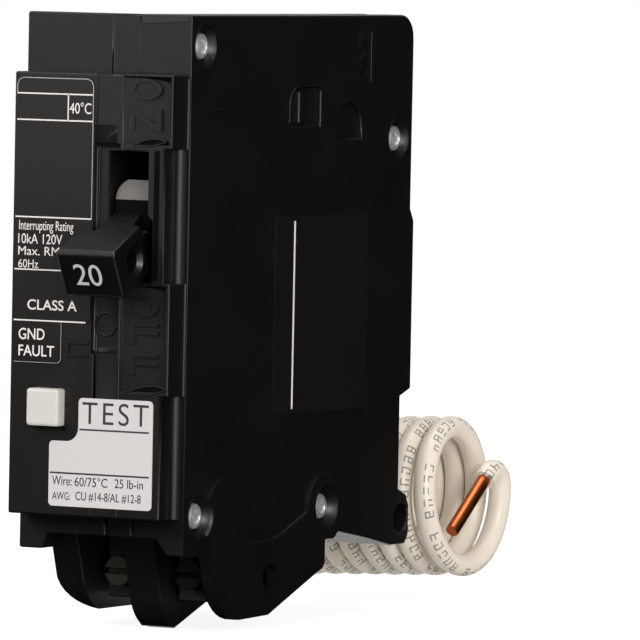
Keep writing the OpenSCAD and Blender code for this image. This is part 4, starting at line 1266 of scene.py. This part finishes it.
@dataclass
class Labels:
    """Printed films on the front and on the right side."""

    thick: float = 0.12
    ink: float = 0.02
    front: tuple[Point2, ...] = ((-11.8, -1.0), (0.0, -1.0), (0.0, 31.2), (-11.8, 31.2))
    lower: tuple[Point2, ...] = ((-11.8, -6.5), (-4.3, -6.5), (-4.3, -1.0), (-11.8, -1.0))
    white: tuple[Point2, ...] = ((-5.9, -25.2), (9.8, -25.2), (9.8, -10.8), (-1.5, -10.8), (-1.5, -16.6), (-5.9, -16.6))
    flank: tuple[Point2, ...] = ((-38.8, -13.7), (-13.3, -13.7), (-13.3, 12.9), (-38.8, 12.9))
    rule_heights: tuple[float, ...] = (29.05, 25.57, 12.75, 5.82)
    front_r: tuple[float, ...] = (0.0, 0.7, 0.7, 0.7)
    lower_r: tuple[float, ...] = (0.5, 0.7, 0.0, 0.0)
    white_r: tuple[float, ...] = (0.6, 0.6, 0.6, 0.6, 1.8, 0.6)
    flank_r: tuple[float, ...] = (0.5, 0.5, 0.5, 0.5)
    rule_x: Point2 = (-11.7, -0.05)
    rule_half: float = 0.09
    short_rules: tuple[Box2, ...] = ((-11.7, -0.98, -0.7, -0.8), (-3.98, 25.57, -3.8, 29.05))
    white_rules: tuple[Box2, ...] = ((-1.31, -15.08, 9.27, -14.86), (-5.74, -20.93, 9.38, -20.71))
    flank_rule: Box2 = (-34.0, -13.0, -33.6, 12.2)
    border: tuple[Point2, ...] = ((-0.08, 12.8), (-0.08, 30.2), (-0.36, 30.84), (-1.0, 31.1), (-10.8, 31.1),
                                  (-11.42, 30.84), (-11.7, 30.2), (-11.7, 29.1))
    lower_edge: tuple[Point2, ...] = ((-11.6, -6.4), (-5.0, -6.4), (-4.55, -6.22), (-4.4, -5.8), (-4.4, -1.1))
    trip_weight: float = 0.006
    class_weight: float = 0.012
    test_weight: float = -0.004
    test_spacing: float = 1.22
    border_r: float = 0.05
    lower_edge_r: float = 0.03
    trip_lines: tuple[Line, ...] = (("GND", -8.89, -2.69, 3.98, 1.5), ("FAULT", -8.14, -4.89, 5.46, 1.45))
    figure_lines: tuple[Line, ...] = (
        ("40°C", -2.03, 27.28, 3.3, 1.5), ("Interrupting Rating", -6.95, 11.45, 8.3, 1.65),
        ("10kA 120V", -7.83, 9.87, 6.75, 1.3), ("Max. RMS", -7.57, 8.28, 7.2, 1.17), ("60Hz", -9.6, 6.57, 3.06, 1.12))
    class_lines: tuple[Line, ...] = (("CLASS A", -5.84, 1.2, 7.56, 1.37),)
    test_lines: tuple[Line, ...] = (("TEST", 4.13, -12.76, 10.1, 2.9),)
    wire_lines: tuple[Line, ...] = (
        ("Wire:", -3.85, -21.84, 3.0, 1.2), ("60/75°C", 0.6, -21.84, 5.0, 1.25), ("25 lb-in", 6.36, -21.84, 4.3, 1.2),
        ("AWG:", -3.92, -23.85, 2.75, 1.0), ("CU #14-8/AL #12-8", 3.23, -23.8, 9.93, 1.25))

    def build(self, shop: Workshop) -> None:
        """Makes the three films and their printing.

        Args:
            shop: Maker of the pieces.
        """
        self.rating(shop)
        self.test(shop)
        self.side(shop)

    def rating(self, shop: Workshop) -> None:
        """Makes the black film of the front, ruled into fields that hold plain figures."""
        film = plate(on_nose(), self.front, self.front_r, self.thick)
        shop.piece("front_film", film, Palette.FILM, ("rating_label",))
        lower = plate(on_nose(), self.lower, self.lower_r, self.thick)
        shop.piece("front_film_lower", lower, Palette.FILM)
        left, right = self.rule_x
        rules = [(left, z - self.rule_half, right, z + self.rule_half) for z in self.rule_heights]
        rules += self.short_rules
        shop.piece("front_rules", strips(on_nose(self.thick), rules, self.ink), Palette.INK_WHITE)
        for name, line, radius in (("front_border", self.border, self.border_r),
                                   ("lower_border", self.lower_edge, self.lower_edge_r)):
            path = [point(x, NOSE_Y - self.thick, z) for x, z in line]
            shop.piece(name, swept(path, radius, 6, -Y_WAY), Palette.INK_SILVER)
        self.words(shop, "trip_words", Palette.INK_WHITE, self.trip_lines, self.trip_weight)
        self.words(shop, "front_figures", Palette.INK_WHITE, self.figure_lines)
        self.words(shop, "front_class", Palette.INK_WHITE, self.class_lines, self.class_weight)

    def words(self, shop: Workshop, name: str, ink: Finish, lines: Sequence[Line],
              weight: float = 0.0, spacing: float = 1.0) -> None:
        """Prints lines of plain lettering on the front films.

        Args:
            shop: Maker of the pieces.
            name: Name of the piece.
            ink: Finish of the print.
            lines: Text, middle X, middle Z, width and height of each line.
            weight: Extra boldness of the letters.
            spacing: Distance between the letters, as a share of the usual.
        """
        meshes = [lettering(on_nose(self.thick, x, z), text, w, h, self.ink, weight, spacing)
                  for text, x, z, w, h in lines]
        shop.piece(name, joined(meshes), ink)

    def test(self, shop: Workshop) -> None:
        """Makes the white film beside the test button."""
        film = plate(on_nose(), self.white, self.white_r, self.thick)
        shop.piece("test_film", film, Palette.FILM_WHITE, ("test_label",))
        rules = strips(on_nose(self.thick), self.white_rules, self.ink)
        shop.piece("test_rules", rules, Palette.INK_BLACK)
        self.words(shop, "test_word", Palette.INK_BLACK, self.test_lines, self.test_weight, self.test_spacing)
        self.words(shop, "wire_words", Palette.INK_BLACK, self.wire_lines)

    def side(self, shop: Workshop) -> None:
        """Makes the black film of the right side, with one printed rule."""
        back, top = (frame_at(point(RIGHT_X + lift, 0.0, 0.0), Y_WAY, Z_WAY) for lift in (0.0, self.thick))
        film = plate(back, self.flank, self.flank_r, self.thick)
        shop.piece("side_film", film, Palette.FILM, ("side_label",))
        shop.piece("side_rules", strips(top, (self.flank_rule,), self.ink), Palette.INK_WHITE)


@dataclass
class Rivets:
    """Tubular rivets that hold the case together."""

    places: tuple[Point2, ...] = ((-58.5, 35.7), (-5.0, 22.9), (-58.0, -26.2), (-24.0, -26.6))
    left_x: float = -11.5
    right_x: float = 11.1
    head_r: float = 1.75
    head_t: float = 0.8
    shank_r: float = 1.2

    def build(self, shop: Workshop) -> None:
        """Makes each rivet with a domed head on the left and a rolled rim on the right.

        Args:
            shop: Maker of the pieces.
        """
        a, b, r = self.left_x, self.right_x, self.head_r
        profile = [(0.0, a - self.head_t), (r * 0.6, a - 0.92 * self.head_t), (r * 0.92, a - 0.6 * self.head_t),
                   (r, a - 0.15), (r, a), (self.shank_r, a), (self.shank_r, b), (r, b), (r, b + 0.2),
                   (r * 0.93, b + 0.58), (r * 0.76, b + 0.78), (r * 0.6, b + 0.74), (r * 0.5, b + 0.5),
                   (r * 0.47, b - 0.3), (0.0, b - 0.45)]
        shapes = [spun(profile, point(0.0, y, z), X_WAY) for y, z in self.places]
        shop.piece("case_rivet_set", merged(shapes), Palette.ZINC, ("case_rivets",))


@dataclass
class Toggle:
    """Handle, its numerals and the grey shield behind it."""

    pivot: Point2 = (-56.2, 13.5)
    rest_deg: float = 26.6
    length: float = 18.3
    edge_r: float = 0.4
    root_r: float = 8.24
    root_deg: Point2 = (-39.4, -12.0)
    root_x: Point2 = (2.38, 7.62)
    root_wall: float = 0.3
    root_steps: int = 12
    numeral_x: float = 3.4
    numeral_rise: float = 0.45
    numeral_size: Place = (4.1, 3.1, 0.03)
    shield_r: float = 0.02
    zones: tuple[Zone, ...] = (
        Zone((7.2, -70.8, 5.3), (8.1, -66.3, 9.8), 0.08),
        Zone((-0.8, -70.3, 5.7), (2.3, -66.8, 9.4)),
        Zone((2.0, -65.5, 5.0), (7.7, -50.0, 20.0)),
    )

    def build(self, shop: Workshop) -> None:
        """Makes the handle and its numerals.

        Args:
            shop: Maker of the pieces.
        """
        shop.rounded_copy("handle", "handle_moulding", Body.TOGGLE, Palette.HANDLE, self.edge_r, 3, self.zones)
        shop.rounded_copy("arc_shield", "arc_shield_moulding", Body.TOGGLE, Palette.SHIELD, self.shield_r)
        self.root(shop)
        angle = math.radians(180.0 + self.rest_deg)
        ahead = Vector((0.0, math.cos(angle), math.sin(angle)))
        upward = Vector((0.0, math.sin(angle), -math.cos(angle)))
        centre = point(self.numeral_x, *self.pivot) + (ahead * self.length + upward * self.numeral_rise) * MM
        plane = frame_at(centre, X_WAY, upward)
        shop.dress("handle_numerals", lettering(plane, "20", *self.numeral_size), Palette.INK_SILVER, body=Body.TOGGLE)

    def root(self, shop: Workshop) -> None:
        """Makes a dark matt sheet on the handle's root, which shows under the shield: painted shade for the shadow that
        the shield casts there.
        """
        start, end = self.root_deg
        steps = range(self.root_steps + 1)
        turns = [math.radians(self.rest_deg + 180.0 + start + (end - start) * step / self.root_steps) for step in steps]
        hollow_r = self.root_r - self.root_wall
        outer = [(math.cos(t) * self.root_r, math.sin(t) * self.root_r) for t in turns]
        inner = [(math.cos(t) * hollow_r, math.sin(t) * hollow_r) for t in reversed(turns)]
        plane = frame_at(point(self.root_x[0], *self.pivot), Y_WAY, Z_WAY)
        shell = plate(plane, outer + inner, [0.0] * len(outer + inner), self.root_x[1] - self.root_x[0])
        shop.piece("handle_root_painted_shade", shell, Palette.PAINTED_SHADE, body=Body.TOGGLE)


@dataclass
class TestButton:
    """Square white button."""

    edge_r: float = 0.5

    def build(self, shop: Workshop) -> None:
        """Makes the rounded button.

        Args:
            shop: Maker of the pieces.
        """
        shop.rounded_copy("test_button", "test_button_moulding", Body.BUTTON, Palette.BUTTON, self.edge_r, 4)


@dataclass
class Terminals:
    """Wire lugs with their screws and pads, between the legs, and the sleeve of the pigtail."""

    edge_r: float = 0.2
    screw_r: float = 0.06
    pad_r: float = 0.1
    sleeve: tuple[Point2, ...] = (
        (0.0, -6.2), (2.2, -6.2), (2.2, 0.5), (2.12, 0.8), (1.98, 1.3), (1.86, 1.56), (1.72, 1.6), (1.62, 1.5),
        (1.6, 1.3), (1.6, -3.3), (0.0, -3.3))
    exit_at: Place = (-9.75, -9.6, -31.9)

    def build(self, shop: Workshop) -> None:
        """Makes both terminals.

        Args:
            shop: Maker of the pieces.
        """
        # The screws' and lugs' dark finishes are painted shade of the bays between the legs.
        rows = (("hot", Body.HOT_CLAMP, Body.HOT_DRIVER, Palette.HOT_SCREW_SHADED),
                ("neutral", Body.NEUTRAL_CLAMP, Body.NEUTRAL_DRIVER, Palette.NEUTRAL_SCREW_SHADED))
        for side, clamp, driver, screw in rows:
            shop.rounded_copy(f"{side}_lug", f"{side}_lug_block", Body.CASE, Palette.TIN_SHADED, self.edge_r)
            shop.rounded_copy(f"{side}_screw", f"{side}_screw_turned", driver, screw, self.screw_r)
            shop.rounded_copy(f"{side}_pad", f"{side}_pad_turned", clamp, Palette.BRASS, self.pad_r)
        down = Vector((0.0, 1.0, -1.0)).normalized()
        shop.piece("bushing_moulding", spun(self.sleeve, point(*self.exit_at), down), Palette.EPOXY,
                   ("pigtail_bushing",))


@dataclass
class Innards:
    """Working parts inside the case."""

    kept: dict[str, Finish] = field(default_factory=lambda: {
        "handle_pin": Palette.ZINC, "arm_pin": Palette.ZINC, "cradle_pin": Palette.ZINC,
        "armature_pin": Palette.ZINC, "trip_pin": Palette.ZINC, "jaw_spring": Palette.ZINC,
        "contact_arm": Palette.COPPER, "line_jaw": Palette.COPPER, "load_strap": Palette.COPPER,
        "neutral_strap": Palette.COPPER, "solenoid_coil": Palette.COPPER, "sense_toroid": Palette.COPPER,
        "neutral_toroid": Palette.COPPER, "moving_contact": Palette.SILVER, "fixed_contact": Palette.SILVER,
        "cradle": Palette.IRON, "magnet_yoke": Palette.IRON, "armature": Palette.IRON,
        "solenoid_frame": Palette.IRON, "solenoid_plunger": Palette.IRON, "arc_plates": Palette.IRON,
        "bimetal": Palette.BIMETAL, "arc_chute": Palette.FIBRE, "circuit_board": Palette.BOARD,
        "controller_chip": Palette.EPOXY, "thyristor": Palette.EPOXY, "toroid_bracket": Palette.EPOXY,
        "capacitors": Palette.CAN, "varistor": Palette.COATED, "resistors": Palette.LACQUER,
        "test_switch": Palette.SWITCH, "trip_bar": Palette.LEVER,
    })
    main_ends: tuple[Place, Place] = ((6.3, -32.2, 9.1), (6.3, -20.0, 7.0))
    main_curls: int = 12
    main_r: float = 0.75
    main_wire_r: float = 0.2
    pushed_curls: int = 5
    pushed: tuple[tuple[str, Place, float, float, float, tuple[Body, Body]], ...] = (
        ("plunger_spring", (-4.6, -13.5, -11.0), 3.8, 1.6, 0.25, (Body.CASE, Body.PLUNGER)),
        ("test_spring", (-6.325, -63.8, -12.2), 5.4, 1.75, 0.22, (Body.BUTTON, Body.CASE)),
    )
    skew: Place = (1.0, 1.0, 1.0)
    braid_corner_r: float = 0.9
    braid_r: float = 0.6
    hot_way: tuple[Place, ...] = (
        (4.4, -34.6, -23.4), (-2.9, -34.6, -23.4), (-2.9, -34.6, -5.0), (-2.9, -43.4, -5.0), (-2.9, -43.4, -25.0),
        (6.25, -43.4, -25.0))
    neutral_way: tuple[Place, ...] = (
        (-9.75, -14.0, -27.5), (-9.75, -17.0, -24.5), (-7.4, -20.0, -22.5), (-7.0, -37.0, -22.5), (-7.0, -37.0, -6.6),
        (-4.85, -39.4, -6.6), (-4.85, -42.8, -6.6))
    braid_way: tuple[Place, ...] = (
        (9.0, -41.2, 5.4), (10.0, -41.2, 5.4), (10.0, -39.0, 0.0), (10.0, -35.8, -4.4), (7.6, -35.8, -4.4))

    def build(self, shop: Workshop) -> None:
        """Gives the inner parts their finishes.

        Args:
            shop: Maker of the pieces.
        """
        for node, finish in self.kept.items():
            shop.finish_node(node, finish)
        self.springs(shop)
        self.leads(shop)

    def springs(self, shop: Workshop) -> None:
        """Makes the three coil springs from round wire."""
        start, end = (point(*place) for place in self.main_ends)
        coil = swept(curled(start, end, self.main_r, self.main_curls), self.main_wire_r, 10, end - start)
        shop.piece("main_spring_wire", coil, Palette.SPRING, ("main_spring",), TUBE_SMOOTH_DEG)
        for node, place, length, radius, wire_r, bodies in self.pushed:
            start = point(*place)
            end = start + Y_WAY * (length * MM)
            shape = swept(curled(start, end, radius, self.pushed_curls), wire_r, 10, end - start)
            shop.bent(f"{node}_wire", shape, Palette.SPRING, node)

    def leads(self, shop: Workshop) -> None:
        """Makes the two insulated leads and the bare braid."""
        skew = Vector(self.skew)
        for node, way, corner_r, wire_r, finish in (("hot_lead", self.hot_way, 1.5, 0.8, Palette.LEAD),
                                                    ("neutral_lead", self.neutral_way, 1.4, 0.7, Palette.WHITE_LEAD)):
            lead = swept(cornered(way, corner_r), wire_r, 16, skew)
            shop.piece(f"{node}_wire", lead, finish, (node,), TUBE_SMOOTH_DEG)
        braid = swept(cornered(self.braid_way, self.braid_corner_r), self.braid_r, 16, skew)
        shop.bent("flexible_braid_wire", braid, Palette.COPPER, "flexible_braid")


def main() -> None:
    """Builds the scene."""
    logging.basicConfig(level=logging.INFO, format="%(name)s: %(message)s")
    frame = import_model()
    shop = Workshop(frame["nodes"])
    Studio().build()
    for assembly in (Pigtail(), CaseShells(), Labels(), Rivets(), Toggle(), TestButton(), Terminals(), Innards()):
        assembly.build(shop)


if __name__ == "__main__":
    main()
